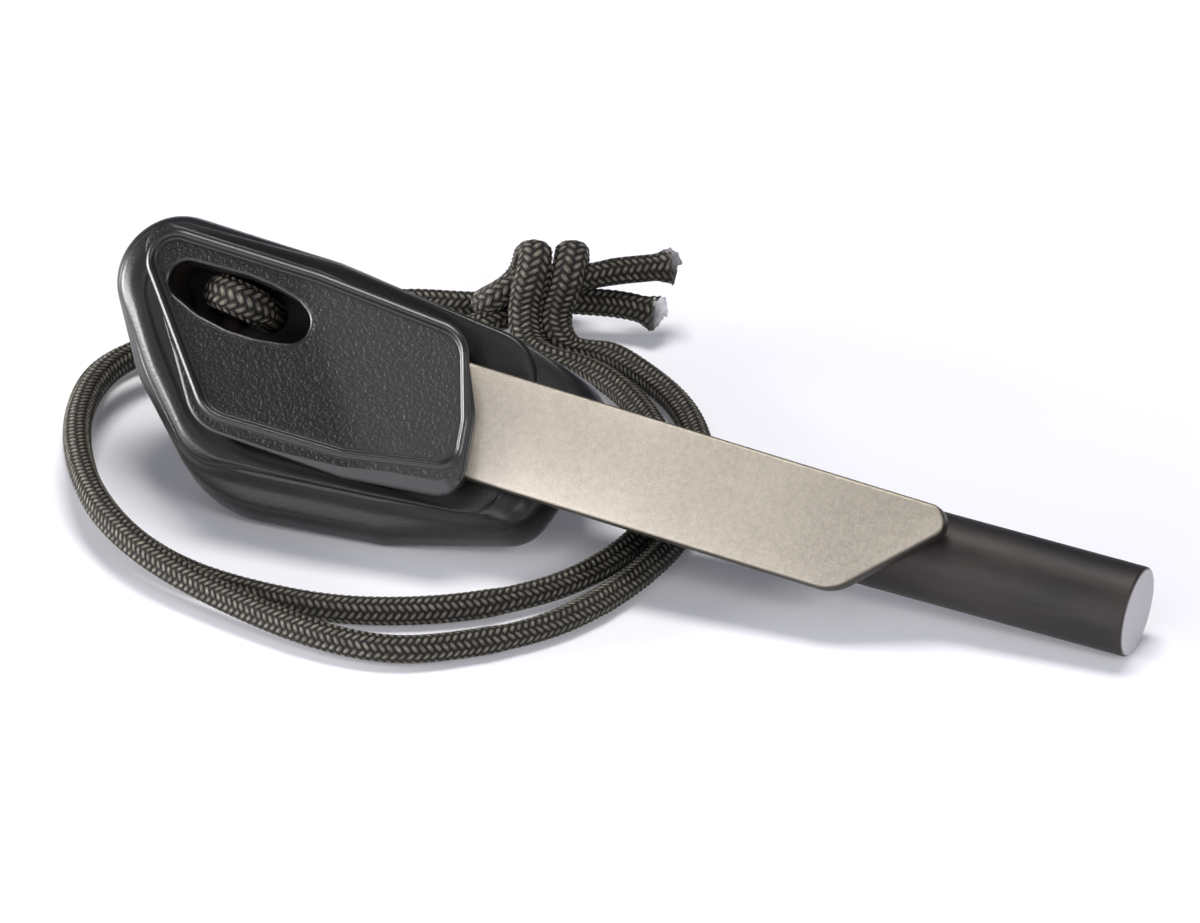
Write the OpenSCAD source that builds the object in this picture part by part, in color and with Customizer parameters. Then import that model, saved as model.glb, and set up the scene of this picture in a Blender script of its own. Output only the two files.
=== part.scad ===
/* [Rod] */
// Diameter of the striking rod
rod_d = 9.5; // [7:0.5:12]
// Length of rod in front of the handle
rod_free = 63; // [45:1:90]
// Length of rod held in the handle
rod_held = 25; // [15:1:27]
// Bevel round both ends of the rod
rod_bevel = 0.4; // [0.2:0.1:1]

/* [Handle] */
// Length of the handle without its nose
handle_l = 52.8; // [45:0.2:65]
// Rod axis to the bulged side
bulge_w = 15; // [13:0.5:18]
// Rod axis to the straight side
straight_w = 13.9; // [12:0.1:17]
// Rod axis down to the underside
under_h = 9; // [7:0.5:12]
// Rod axis up to the crest of the rim
rim_h = 5; // [4:0.5:6]
// Rod axis up to the floor of the nest
nest_h = 2.6; // [1.5:0.1:3.5]
// Width of the rim from its crest to its slope
rim_w = 0.65; // [0.4:0.05:1]
// Depth that the resting flat cuts into the flank
rest_cut = 0.4; // [0.2:0.1:0.8]

/* [Scraper blade] */
// Length of the blade without its tang
blade_l = 55.5; // [40:0.5:65]
// Width of the blade
blade_w = 11.7; // [8:0.1:14]
// Thickness of the blade
blade_t = 2; // [1:0.1:3]
// Gap between the blade and the rod below it
blade_gap = 0.45; // [0.3:0.05:1]
// Length of the square stretch at the tip
tip_l = 2.6; // [1.5:0.1:4]
// Rounding of the tip's long corner
tip_r = 1.9; // [1:0.1:2.5]
// Rounding of the tip's short corner
heel_r = 4.5; // [2:0.5:6]
// Turn of the blade against the rod
blade_yaw = -1.8; // [-3:0.1:0]
// Length of the tang inside the head
tang_l = 12; // [8:1:14]
// Width of the tang
tang_w = 8; // [6:0.5:9]

/* [Scraper head] */
// Height of the head from its underside to its border
head_h = 6.6; // [5.5:0.1:8]
// Gap between the head's underside and the nest's floor
head_gap = 0.4; // [0.3:0.1:0.8]
// Depth of the sunken field on top
field_h = 0.45; // [0.2:0.05:0.8]
// Gap between the rod and the channel over it
channel_gap = 0.7; // [0.5:0.05:1]

/* [Lanyard slot] */
// Length of the slot in the head
slot_l = 16; // [12:0.5:18]
// Width of the slot in the head
slot_w = 5.6; // [4:0.1:7]
// Turn of the slot against the rod
slot_yaw = -8; // [-15:1:0]
// Diameter of the bar across the slot
bar_d = 2.2; // [1.5:0.1:3]
// Length of the slot through the handle
through_l = 9.4; // [9:0.2:12]
// Width of the slot through the handle
through_w = 3.8; // [3.6:0.1:5]

/* [Lanyard] */
// Diameter of the cord
cord_d = 3.1; // [2.5:0.1:3.4]
// Diameter of the cord where the knot squeezes it
knot_d = 2.8; // [2.2:0.1:3.1]
// Running gap round the cord
cord_gap = 0.1; // [0.05:0.05:0.3]

/* [Hidden] */
$fn = 64;
eps = 0.01;
sides = 96;
cord_sides = 8;
rod_r = rod_d / 2;
cord_r = cord_d / 2;

// Handle outlines as circles: distance behind the handle's front, sideways place, radius
widest = [
    [handle_l - 7.3, straight_w - 6.9, 6.9],
    [41, 1, 7.7],
    [30.5, 13 - bulge_w, 13],
    [17, 5.6 - bulge_w, 4.6],
    [4.3, -6.6, 4.1],
    [2.2, 3, 5.4],
    [12.6, 4.6, 6],
    [29, straight_w - 7.9, 7.1]
];
rim = [
    [handle_l - 7.8, straight_w - 7.4, 6.2],
    [40.5, 0.5, 5.3],
    [34.3, 11.2 - bulge_w, 6.9],
    [17, 10 - bulge_w, 4.7],
    [8, -5.5, 3.5],
    [11, 1.5, 5],
    [9.7, 4.8, 5.6],
    [29, straight_w - 8.4, 7.2]
];
base = [
    [handle_l - 7.8, straight_w - 8.4, 3.5],
    [39, 0.5, 4.5],
    [32, 13.5 - bulge_w, 7],
    [17, 10.8 - bulge_w, 4.2],
    [6, -3.6, 3.2],
    [4.5, 2.5, 4],
    [13, 3.6, 4.6],
    [29, straight_w - 10.9, 6]
];
flank_power = 1.38;
flank_steps = [0, 0.12, 0.26, 0.42, 0.58, 0.74, 0.9];
wall_steps = [[0, 0], [0.2, 0.13], [0.4, 0.36], [0.58, 0.63], [0.7, 0.82], [0.8, 0.9], [0.93, 0.94], [1, 1]];
base_round = [[1.2, 0], [0.5, 0.3], [0.15, 0.65]];
nest_foot = 1.6;
nest_lip = 0.9;
lip_drop = 1;

// Head outlines in the same form
head_edge = [
    [45.4, 9.2, 2.4],
    [33.9, -2.8, 5.5],
    [20, -4, 5.2],
    [10.4, -5.4, 3.1],
    [14, -1, 6.1],
    [14.5, 4.8, 4.1],
    [29, 5.2, 5.7]
];
field_edge = [
    [44.2, 8.1, 2.3],
    [34, -2.2, 3.9],
    [21, -3, 3.8],
    [10.6, -4.2, 1.6],
    [13, -1, 3.7],
    [14.5, 5.1, 3.2],
    [29, 5.1, 4.7]
];
head_steps = [[0, 2.2], [0.15, 1.8], [0.32, 1.2], [0.5, 0.6], [0.68, 0.1], [0.8, 0], [0.91, 0.2]];
border_w = 0.6;
nest_floor = nest_h;
head_floor = nest_floor + head_gap;
head_top = head_floor + head_h;
slot_s = 36.3;
slot_y = 5.6;
bar_x = -1.4;
bight_y = 0.4;
root_s = 13;
root_y = 0.3;
blade_under = rod_r + blade_gap;
bar_lift = 0.2;
bar_z = head_floor + bar_lift + bar_d / 2;
bend_r = bar_d / 2 + cord_gap + cord_r;

// How the tool lies: rolled onto the bulged flank, with the rod's tip down
roll = 52.75;
rest_s = 25;
rest_t = 0.5;
flank_y = bulge_w - (bulge_w - 8.5) * pow(rest_t, flank_power);
rest_drop = sin(roll) * flank_y + cos(roll) * under_h * rest_t - rest_cut;
tilt = asin((rest_drop - rod_r) / (rod_free + rest_s));
lie_h = rod_r * cos(tilt) - rod_bevel * sin(tilt);
origin_x = 88;
origin_y = 4;

// Knot: place on the surface and turn
knot_x = 6.1;
knot_y = 46.5;
knot_yaw = 22;

// Routes of the two strands on the surface, then through the knot and out as tails
outer_route = [
    [-14.6, 20.2, 8.6], [-18.4, 24, 6.2], [-24.6, 23.4, 5], [-29.4, 18.9, 4.5],
    [-31, 12.6, 4.6], [-30.4, 6.2, 4.7], [-28, -1.4, 4.8], [-24.4, -8.2, 4.7],
    [-19, -15.2, 4.4], [-11.6, -20.7, 3.7], [-3.8, -23.9, 2.9], [4.4, -26.4, 2.4],
    [12.4, -27.8, 2.1], [18.8, -27, 1.9], [24.6, -23.2, 1.7], [30.2, -17.4, 1.6],
    [33.9, -9.8, 1.6], [35.8, -1.4, 1.6], [36.2, 7.4, 1.6], [34.6, 17.2, 1.6],
    [30.8, 26.4, 1.6], [25.2, 34.2, 1.6], [18.4, 39.6, 1.6]
];
inner_route = [
    [-9, 19.4, 7.8], [-12, 24, 4.4], [-17.6, 27.8, 2.2], [-24.8, 28, 1.6],
    [-31, 24.4, 1.6], [-33.6, 18.2, 1.6], [-33, 11.2, 1.6], [-30.6, 4.2, 1.6],
    [-26.8, -3, 1.6], [-21.2, -10.2, 1.6], [-14.2, -16.2, 1.6], [-6.6, -19.8, 1.6],
    [1.8, -21.2, 1.6], [9.8, -20.8, 1.6], [17.2, -18.2, 1.6], [24.2, -13.4, 1.6],
    [29.4, -6.8, 1.6], [32.2, 1.2, 1.6], [32.6, 9.6, 1.6], [30.4, 18.4, 1.6],
    [26.2, 26.4, 1.6], [20.8, 32.8, 1.6], [16.6, 36.2, 1.6]
];
outer_knot = [
    [4.5, -6.9, 1.6], [1.5, -5.7, 1.8], [0.2, -3.9, 3.6], [0.9, -2.8, 6.4],
    [1.6, -1.5, 9], [1.9, 0.5, 9.7], [2, 2.5, 8.3], [1.8, 3.2, 5.2],
    [0, 3.8, 2.5], [-4, 4, 1.6], [-10, 4, 1.6], [-15.8, 4.5, 1.6],
    [-19.4, 3, 1.6], [-19.8, -0.6, 1.6], [-16, -2.8, 1.6], [-10.4, -2.4, 1.6],
    [-5.2, -0.9, 2.9], [-1.6, 0, 4.1], [3.2, 0, 4.1]
];
inner_knot = [
    [3, -10.3, 1.6], [0, -8.6, 1.7], [-2.4, -5.9, 2.1], [-3, -3.6, 4.6],
    [-2.4, -2.4, 7.8], [-1.9, -0.4, 9.8], [-2.4, 2.2, 8.8], [-3.2, 3.3, 5.8],
    [-5.2, 2.9, 3.9], [-7.2, 1, 3.6], [-6.8, -0.9, 4.7], [-4.2, -0.7, 6.4],
    [-1.4, 0, 7], [3.2, 0, 7]
];
upper_tail = [[3.2, 0, 7], [6, 0.3, 7.4], [9, 0.7, 7.6], [12.4, 1.2, 7.7]];
lower_tail = [[3.2, 0, 4.1], [6, -0.1, 3.9], [8.5, -0.6, 3.7], [10.8, -1.3, 3.3]];

// Outline of a set of circles: for each facing, the point of the circle that reaches furthest
function reach(c, a) = -(rod_free + c[0]) * cos(a) + c[1] * sin(a) + c[2];
function furthest(list, a, i = 0, best = 0) =
    i == len(list) ? best : furthest(list, a, i + 1, reach(list[i], a) > reach(list[best], a) ? i : best);
function edge_point(c, a, inset) =
    [-(rod_free + c[0]) + (c[2] - inset) * cos(a), c[1] + (c[2] - inset) * sin(a)];
function ring(list, inset, z) =
    [for (k = [0 : sides - 1]) let (a = 360 * k / sides, c = list[furthest(list, a)])
        concat(edge_point(c, a, inset), z)];
function mix(a, b, t) = a * (1 - t) + b * t;

// Skin over rings that have the same count of points
function flatten(rings) = [for (r = rings) for (p = r) p];
function skin_faces(m, n) = concat(
    [[for (k = [0 : n - 1]) k]],
    [for (j = [0 : m - 2]) for (k = [0 : n - 1]) let (k2 = (k + 1) % n)
        [j * n + k, (j + 1) * n + k, (j + 1) * n + k2]],
    [for (j = [0 : m - 2]) for (k = [0 : n - 1]) let (k2 = (k + 1) % n)
        [j * n + k, (j + 1) * n + k2, j * n + k2]],
    [[for (k = [n - 1 : -1 : 0]) (m - 1) * n + k]]
);
module skin(rings) {
    polyhedron(points = flatten(rings), faces = skin_faces(len(rings), len(rings[0])));
}

// Tube along a route, its rings carried on without twist
function unit(v) = v / norm(v);
function heading(p, i) = unit(p[min(i + 1, len(p) - 1)] - p[max(i - 1, 0)]);
function across(v, t) = unit(v - (v * t) * t);
function carried(p) =
    [for (i = 0, v = across([0.1, 0.2, 1], heading(p, 0)); i < len(p);
        i = i + 1, v = i < len(p) ? across(v, heading(p, i)) : v) v];
function tube_rings(p, r) =
    let (v = carried(p))
    [for (i = [0 : len(p) - 1]) let (t = heading(p, i), w = cross(t, v[i]))
        [for (k = [0 : cord_sides - 1]) let (a = 360 * (k + 0.5) / cord_sides)
            p[i] + r * (cos(a) * v[i] + sin(a) * w)]];
module tube(p, r) {
    skin(tube_rings(p, r));
}

// Places: from the tool's own axes to the surface it lies on, and from the knot to it
function rolled(p) = [p[0], p[1] * cos(roll) - p[2] * sin(roll), p[1] * sin(roll) + p[2] * cos(roll)];
function tilted(p) = [p[0] * cos(tilt) + p[2] * sin(tilt), p[1], p[2] * cos(tilt) - p[0] * sin(tilt)];
function laid(p) = tilted(rolled(p)) + [origin_x, origin_y, lie_h];
function in_knot(p) =
    [knot_x + p[0] * cos(knot_yaw) - p[1] * sin(knot_yaw), knot_y + p[0] * sin(knot_yaw) + p[1] * cos(knot_yaw), p[2]];
function in_slot(x, z) =
    [(bar_x + x) * cos(slot_yaw) - bight_y * sin(slot_yaw) - rod_free - slot_s,
        (bar_x + x) * sin(slot_yaw) + bight_y * cos(slot_yaw) + slot_y, z];
module lay() {
    translate([origin_x, origin_y, lie_h])
        rotate([roll, tilt, 0])
            children();
}
module at_slot() {
    translate([-rod_free - slot_s, slot_y, 0])
        rotate([0, 0, slot_yaw])
            children();
}

module slot_prism(l, w, z0, z1) {
    translate([(w - l) / 2, 0, z0])
        cylinder(d = w, h = z1 - z0);
    translate([(l - w) / 2, 0, z0])
        cylinder(d = w, h = z1 - z0);
    translate([(w - l) / 2, -w / 2, z0])
        cube([l - w, w, z1 - z0]);
}

// Plastic handle: rounded flanks, a rim round the nest, the rod's bore and the slot for the lanyard
module handle_body() {
    skin(concat(
        [for (s = base_round) ring(base, s[0], -under_h + s[1])],
        [for (k = [len(flank_steps) - 1 : -1 : 0]) let (t = flank_steps[k])
            ring(mix(widest, base, pow(t, flank_power)), 0, -under_h * t)],
        [for (k = [1 : len(wall_steps) - 1]) let (s = wall_steps[k])
            ring(mix(widest, rim, s[1]), 0, rim_h * s[0])],
        [ring(rim, rim_w / 2, rim_h + 0.12)]
    ));
}
module nest() {
    skin([
        ring(head_edge, nest_foot, nest_floor),
        ring(head_edge, nest_lip + 0.2, nest_floor + 0.5),
        ring(head_edge, nest_lip, rim_h - lip_drop),
        ring(rim, rim_w, rim_h),
        ring(rim, rim_w, rim_h + 1)
    ]);
}
module rod_bore() {
    translate([-rod_free - rod_held, 0, 0])
        rotate([0, 90, 0])
            cylinder(r = rod_r, h = rod_free + rod_held);
}
module handle() {
    color([0.12, 0.12, 0.13])
        difference() {
            lay()
                difference() {
                    handle_body();
                    nest();
                    rod_bore();
                    at_slot()
                        translate([bar_x, bight_y, 0])
                            slot_prism(through_l, through_w, -under_h - 1, rim_h);
                }
            translate([-100, -100, -30])
                cube([300, 200, 30]);
        }
}

module ferro_rod() {
    color([0.17, 0.15, 0.14])
        lay()
            translate([-rod_free - rod_held, 0, 0])
                rotate([0, 90, 0]) {
                    cylinder(r1 = rod_r - rod_bevel, r2 = rod_r, h = rod_bevel);
                    translate([0, 0, rod_bevel])
                        cylinder(r = rod_r, h = rod_free + rod_held - 2 * rod_bevel);
                    translate([0, 0, rod_free + rod_held - rod_bevel])
                        cylinder(r1 = rod_r, r2 = rod_r - rod_bevel, h = rod_bevel);
                }
}

// Steel blade with a slanted tip, and its tang
module at_blade() {
    translate([-rod_free - root_s, root_y, blade_under])
        rotate([0, 0, blade_yaw])
            children();
}
module blade_outline() {
    slant = blade_w - tip_l;
    heel = blade_l - slant;
    pull = heel_r * tan(22.5);
    union() {
        polygon([
            [0, -blade_w / 2],
            [heel - pull, -blade_w / 2],
            [heel + pull * cos(45), pull * sin(45) - blade_w / 2],
            [blade_l, blade_w / 2 - tip_l],
            [blade_l, blade_w / 2 - tip_r],
            [blade_l - tip_r, blade_w / 2],
            [0, blade_w / 2]
        ]);
        translate([blade_l - tip_r, blade_w / 2 - tip_r])
            circle(r = tip_r);
        intersection() {
            translate([heel - pull, heel_r - blade_w / 2])
                circle(r = heel_r);
            translate([heel - pull, -blade_w / 2])
                square([heel_r, heel_r]);
        }
    }
}
module tang() {
    translate([-tang_l, -tang_w / 2, 0])
        cube([tang_l + 1, tang_w, blade_t]);
}
module scraper_blade() {
    color([0.78, 0.75, 0.7])
        lay()
            at_blade() {
                linear_extrude(blade_t)
                    blade_outline();
                tang();
            }
}

// Head moulded on the tang, with a sunken field and a barred slot for the lanyard
module head_body() {
    skin(concat(
        [for (s = head_steps) ring(head_edge, s[1], head_floor + head_h * s[0])],
        [ring(field_edge, -border_w, head_top)]
    ));
}
module scraper_head() {
    color([0.2, 0.2, 0.2])
        lay() {
            difference() {
                head_body();
                skin([ring(field_edge, 0.2, head_top - field_h), ring(field_edge, 0, head_top + 1)]);
                at_slot()
                    slot_prism(slot_l, slot_w, head_floor - 1, head_top + 1);
                translate([-rod_free - rod_held - 2, 0, 0])
                    rotate([0, 90, 0])
                        cylinder(r = rod_r + channel_gap, h = rod_free + rod_held + 2);
                at_blade() {
                    linear_extrude(blade_t)
                        blade_outline();
                    tang();
                }
            }
            at_slot()
                translate([bar_x, slot_w / 2 + 0.3, bar_z])
                    rotate([90, 0, 0])
                        cylinder(d = bar_d, h = slot_w + 0.6);
        }
}

// Lanyard: bight over the bar, two strands round the tool, knot and tails
module cord_bight() {
    color([0.25, 0.23, 0.2])
        lay()
            at_slot()
                translate([bar_x, bight_y, bar_z]) {
                    rotate([90, 0, 0])
                        rotate_extrude(angle = 180)
                            translate([bend_r, 0])
                                circle(r = cord_r, $fn = 24);
                    for (x = [-bend_r, bend_r])
                        translate([x, 0, -bar_d / 2 - bar_lift])
                            cylinder(r = cord_r, h = bar_d / 2 + bar_lift + eps, $fn = 24);
                }
}
module cord_outer() {
    color([0.27, 0.25, 0.21])
        tube(concat(
            [laid(in_slot(-bend_r, head_floor - cord_gap)), laid(in_slot(-bend_r, -under_h))],
            outer_route,
            [in_knot(outer_knot[0])]
        ), cord_r);
}
module cord_inner() {
    color([0.22, 0.2, 0.17])
        tube(concat(
            [laid(in_slot(bend_r, head_floor - cord_gap)), laid(in_slot(bend_r, -under_h))],
            inner_route,
            [in_knot(inner_knot[0])]
        ), cord_r);
}
module cord_knot() {
    color([0.3, 0.27, 0.22]) {
        tube([for (p = outer_knot) in_knot(p)], knot_d / 2);
        tube([for (p = inner_knot) in_knot(p)], knot_d / 2);
    }
}
module cord_tail_upper() {
    color([0.34, 0.31, 0.27])
        tube([for (p = upper_tail) in_knot(p)], knot_d / 2);
}
module cord_tail_lower() {
    color([0.34, 0.31, 0.27])
        tube([for (p = lower_tail) in_knot(p)], knot_d / 2);
}

handle();
ferro_rod();
scraper_head();
scraper_blade();
cord_bight();
cord_outer();
cord_inner();
cord_knot();
cord_tail_upper();
cord_tail_lower();
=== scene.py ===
import logging
import math
from dataclasses import dataclass
from enum import Enum
from typing import Any, Sequence, Union

import bpy
import numpy as np
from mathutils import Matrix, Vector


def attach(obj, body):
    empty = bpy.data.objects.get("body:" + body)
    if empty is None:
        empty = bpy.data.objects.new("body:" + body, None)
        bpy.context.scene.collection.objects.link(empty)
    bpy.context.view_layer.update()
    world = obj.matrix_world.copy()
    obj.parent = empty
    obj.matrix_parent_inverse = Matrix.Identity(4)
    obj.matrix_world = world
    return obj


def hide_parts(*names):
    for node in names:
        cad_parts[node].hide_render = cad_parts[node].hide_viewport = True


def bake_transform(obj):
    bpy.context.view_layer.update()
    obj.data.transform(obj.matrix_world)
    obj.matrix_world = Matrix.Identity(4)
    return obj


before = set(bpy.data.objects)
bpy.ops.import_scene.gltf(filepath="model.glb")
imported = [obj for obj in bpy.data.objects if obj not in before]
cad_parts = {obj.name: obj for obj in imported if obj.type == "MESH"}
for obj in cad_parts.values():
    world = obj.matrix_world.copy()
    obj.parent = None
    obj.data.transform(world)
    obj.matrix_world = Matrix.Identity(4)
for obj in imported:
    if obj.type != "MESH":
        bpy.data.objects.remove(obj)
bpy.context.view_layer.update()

# A fire starter: a rod in a moulded handle, a scraper that lifts out of its nest, and a knotted lanyard.
# Shapes are written in the tool's own millimetres and laid on the surface by Lay, which gives metres.
LOG = logging.getLogger("fire_starter")
MM = 0.001
SEED = 7
Triple = tuple[float, float, float]
Steps = Sequence[Sequence[float]]


class Body(Enum):
    """The two bodies that pieces ride on."""

    HANDLE = "handle"
    SCRAPER = "scraper"


class Slot(Enum):
    """The record's material slots."""

    HANDLE = "handle_plastic"
    ROD = "rod_metal"
    HEAD = "head_plastic"
    BLADE = "blade_steel"
    CORD = "lanyard_cord"


class Signal:
    """A number that varies over a surface: a node's output with Python's operators on it."""

    def __init__(self, graph: "Graph", socket: Union[bpy.types.NodeSocket, None]) -> None:
        """Keeps the graph and the output socket."""
        self.graph = graph
        self.socket = socket

    def _math(self, operation: str, first: Any, second: Any) -> "Signal":
        """Adds one Math node.

        Args:
            operation: the Math node's operation.
            first: the first value or signal.
            second: the second value or signal.

        Returns:
            The node's output.
        """
        return self.graph.node("ShaderNodeMath", {"operation": operation}, {0: first, 1: second})

    def __add__(self, other: Any) -> "Signal":
        """This plus other."""
        return self._math("ADD", self, other)

    def __radd__(self, other: Any) -> "Signal":
        """Other plus this."""
        return self._math("ADD", other, self)

    def __sub__(self, other: Any) -> "Signal":
        """This minus other."""
        return self._math("SUBTRACT", self, other)

    def __rsub__(self, other: Any) -> "Signal":
        """Other minus this."""
        return self._math("SUBTRACT", other, self)

    def __mul__(self, other: Any) -> "Signal":
        """This times other."""
        return self._math("MULTIPLY", self, other)

    def __rmul__(self, other: Any) -> "Signal":
        """Other times this."""
        return self._math("MULTIPLY", other, self)

    def __pow__(self, other: Any) -> "Signal":
        """This to the power of other."""
        return self._math("POWER", self, other)

    def clamped(self) -> "Signal":
        """This, kept from 0 to 1."""
        return self.graph.node("ShaderNodeClamp", {}, {"Value": self})

    def floored(self) -> "Signal":
        """The whole number at or below this."""
        return self._math("FLOOR", self, 0.0)

    def modulo(self, size: float) -> "Signal":
        """What is left of this above a whole multiple of size."""
        return self._math("FLOORED_MODULO", self, size)

    def below(self, limit: float) -> "Signal":
        """1 where this is below the limit, else 0."""
        return self._math("LESS_THAN", self, limit)

    def arch(self) -> "Signal":
        """The sine of this times pi: 0 at 0 and 1, and 1 at a half."""
        return (self * math.pi)._math("SINE", self * math.pi, 0.0).clamped()


class Graph:
    """A tree of shader nodes."""

    def __init__(self, tree: bpy.types.NodeTree) -> None:
        """Takes over a node tree and empties it."""
        self.tree = tree
        self.tree.nodes.clear()

    def node(
        self, kind: str, settings: dict[str, Any], inputs: dict[Union[str, int], Any], output: Union[str, int, None] = 0
    ) -> Signal:
        """Adds one node of any type.

        Args:
            kind: the node's type.
            settings: its settings, set first; "stops" fills a ramp with (place, colour) pairs.
            inputs: a value or a signal for each named or numbered socket.
            output: the output that is wanted, or None for a node that has none.

        Returns:
            That output as a signal.
        """
        made = self.tree.nodes.new(kind)
        for key, value in settings.items():
            if key == "stops":
                fill_ramp(made.color_ramp, value)
            else:
                setattr(made, key, value)
        for key, value in inputs.items():
            self.plug(made.inputs[key], value)
        return Signal(self, None if output is None else made.outputs[output])

    def plug(self, socket: bpy.types.NodeSocket, value: Any) -> None:
        """Links a signal to a socket, or sets a plain value on it."""
        if isinstance(value, Signal):
            self.tree.links.new(value.socket, socket)
        else:
            socket.default_value = value

    def place(self) -> Signal:
        """The point in the object's own coordinates."""
        return self.node("ShaderNodeTexCoord", {}, {}, "Object")

    def noise(self, scale: float, detail: float = 3.0, place: Union[Signal, None] = None) -> Signal:
        """Cloudy noise from 0 to 1.

        Args:
            scale: how many lumps there are to the metre.
            detail: how many finer octaves are added.
            place: where it is read, the object's coordinates unless given.

        Returns:
            The noise's value.
        """
        where = place or self.place()
        return self.node("ShaderNodeTexNoise", {}, {"Vector": where, "Scale": scale, "Detail": detail}, "Fac")

    def mask(self, name: str) -> Signal:
        """A number kept on the piece's points under that name."""
        return self.node("ShaderNodeAttribute", {"attribute_name": name}, {}, "Fac")

    def blend(self, low: Triple, high: Triple, share: Any) -> Signal:
        """A colour from low to high by a share from 0 to 1."""
        settings = {"data_type": "RGBA"}
        return self.node("ShaderNodeMix", settings, {0: share, 6: (*low, 1.0), 7: (*high, 1.0)}, 2)

    def tint(self, colour: Signal, other: Triple, share: Any) -> Signal:
        """A colour signal carried towards another colour by a share from 0 to 1."""
        settings = {"data_type": "RGBA"}
        return self.node("ShaderNodeMix", settings, {0: share, 6: colour, 7: (*other, 1.0)}, 2)

    def bump(self, height: Signal, depth: float, strength: float = 1.0) -> Signal:
        """A normal from a height signal.

        Args:
            height: the height from 0 to 1.
            depth: what 1 stands for, in metres.
            strength: how much of it is used.

        Returns:
            The normal.
        """
        return self.node("ShaderNodeBump", {}, {"Height": height, "Distance": depth, "Strength": strength})


class Paint(Graph):
    """A material's nodes, with its Principled shader ready."""

    def __init__(self, name: str) -> None:
        """Makes a material of that name with a Principled shader on its output."""
        self.material = bpy.data.materials.new(name)
        self.material.use_nodes = True
        super().__init__(self.material.node_tree)
        self.shader = self.tree.nodes.new("ShaderNodeBsdfPrincipled")
        self.output = self.tree.nodes.new("ShaderNodeOutputMaterial")
        self.tree.links.new(self.shader.outputs[0], self.output.inputs["Surface"])

    def set(self, **values: Any) -> None:
        """Sets or links sockets of the Principled shader, named with underscores."""
        for key, value in values.items():
            self.plug(self.shader.inputs[key.replace("_", " ")], value)


def fill_ramp(ramp: bpy.types.ColorRamp, stops: Sequence[tuple[float, Triple]]) -> None:
    """Gives a colour ramp its stops, as (place, colour) pairs."""
    while len(ramp.elements) < len(stops):
        ramp.elements.new(1.0)
    for element, (place, colour) in zip(ramp.elements, stops):
        element.position = place
        element.color = (*colour, 1.0)


@dataclass(frozen=True)
class MouldedPlastic:
    """Satin plastic from a finely textured mould."""

    name: str
    colour: Triple
    roughness: float
    pits_per_metre: float
    pit_depth: float

    def paint(self) -> bpy.types.Material:
        """Makes the material: fine pits in the surface, a slow drift of gloss, and painted shade inside the lanyard
        slot.
        """
        g = Paint(self.name)
        pits = g.noise(self.pits_per_metre, 2.0)
        drift = g.noise(160.0, 2.0)
        lighter = tuple(c * 1.35 for c in self.colour)
        # inner: painted shade, a near-black brown and a rougher surface inside the lanyard slot
        inner = g.mask("inner")
        g.set(
            Base_Color=g.tint(g.blend(self.colour, lighter, drift), (0.008, 0.004, 0.003), inner),
            Roughness=(self.roughness - 0.04) + drift * 0.08 + inner * 0.5,
            Normal=g.bump(pits, self.pit_depth),
            IOR=1.5,
        )
        return g.material


@dataclass(frozen=True)
class GrainedPlastic:
    """Plastic with a leather grain where the mask says so, and smooth elsewhere."""

    name: str
    colour: Triple
    smooth_roughness: float
    grain_roughness: float
    cells_per_metre: float
    grain_depth: float

    def paint(self) -> bpy.types.Material:
        """Makes the material: soft rounded pebbles, broken up by finer noise, with painted light that is lighter and
        coated where the lit mask is high, and painted shade inside the slot.
        """
        g = Paint(self.name)
        grained = g.mask("grained")
        inner = g.mask("inner")
        cells = g.node(
            "ShaderNodeTexVoronoi",
            {"feature": "SMOOTH_F1"},
            {"Vector": g.place(), "Scale": self.cells_per_metre, "Smoothness": 0.7, "Detail": 1.0},
            "Distance",
        )
        fine = g.noise(self.cells_per_metre * 1.7, 2.0)
        # lit: painted light, which lightens the base colour and adds coat
        lit = g.mask("lit")
        height = ((1.0 - cells) * 0.7 + fine * 0.5) * grained
        worn = g.noise(240.0, 3.0)
        lighter = tuple(c * 1.6 for c in self.colour)
        g.set(
            # base colour: the grain's tone and random wear, with painted light from lit and painted shade from inner
            Base_Color=g.tint(
                g.blend(self.colour, lighter, (fine * grained * 0.5 + worn * 0.2 + lit * 0.4 - 0.3).clamped()),
                (0.008, 0.004, 0.003), inner),
            Roughness=self.smooth_roughness + grained * (self.grain_roughness - self.smooth_roughness) + inner * 0.5,
            Normal=g.bump(height, self.grain_depth),
            IOR=1.5,
            Specular_IOR_Level=0.22,
            Coat_Weight=(lit * 0.8 * (1.0 - inner)).clamped(),
            Coat_Roughness=0.33,
        )
        return g.material


@dataclass(frozen=True)
class CoatedRod:
    """Dark coated ferrocerium with a sawn end."""

    name: str
    coat: Triple
    bloom: Triple
    sawn: Triple

    def paint(self) -> bpy.types.Material:
        """Makes the material: streaks drawn along the rod, a brown bloom, and a pale rough end."""
        g = Paint(self.name)
        along = g.node("ShaderNodeMapping", {}, {"Vector": g.place(), "Scale": (0.12, 1.0, 1.0)})
        streaks = g.noise(2200.0, 4.0, along)
        patches = g.noise(260.0, 3.0, g.node("ShaderNodeMapping", {}, {"Vector": g.place(), "Scale": (0.25, 1.0, 1.0)}))
        end = g.mask("sawn")
        rubbed = g.mask("rubbed")
        shell = g.blend(self.coat, self.bloom, (patches * 1.6 + streaks * 0.5 - 0.75).clamped())
        grit = g.noise(5200.0, 3.0)
        face = g.tint(g.tint(shell, self.bloom, rubbed * 0.7), self.sawn, (end * (0.72 + grit * 0.5)).clamped())
        g.set(
            Base_Color=face,
            Roughness=0.48 + streaks * 0.12 + end * 0.15,
            Metallic=0.6 - end * 0.5,
            Normal=g.bump(streaks * 0.5 + grit * (0.25 + end * 0.9), 0.00003),
            IOR=1.6,
        )
        return g.material


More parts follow.
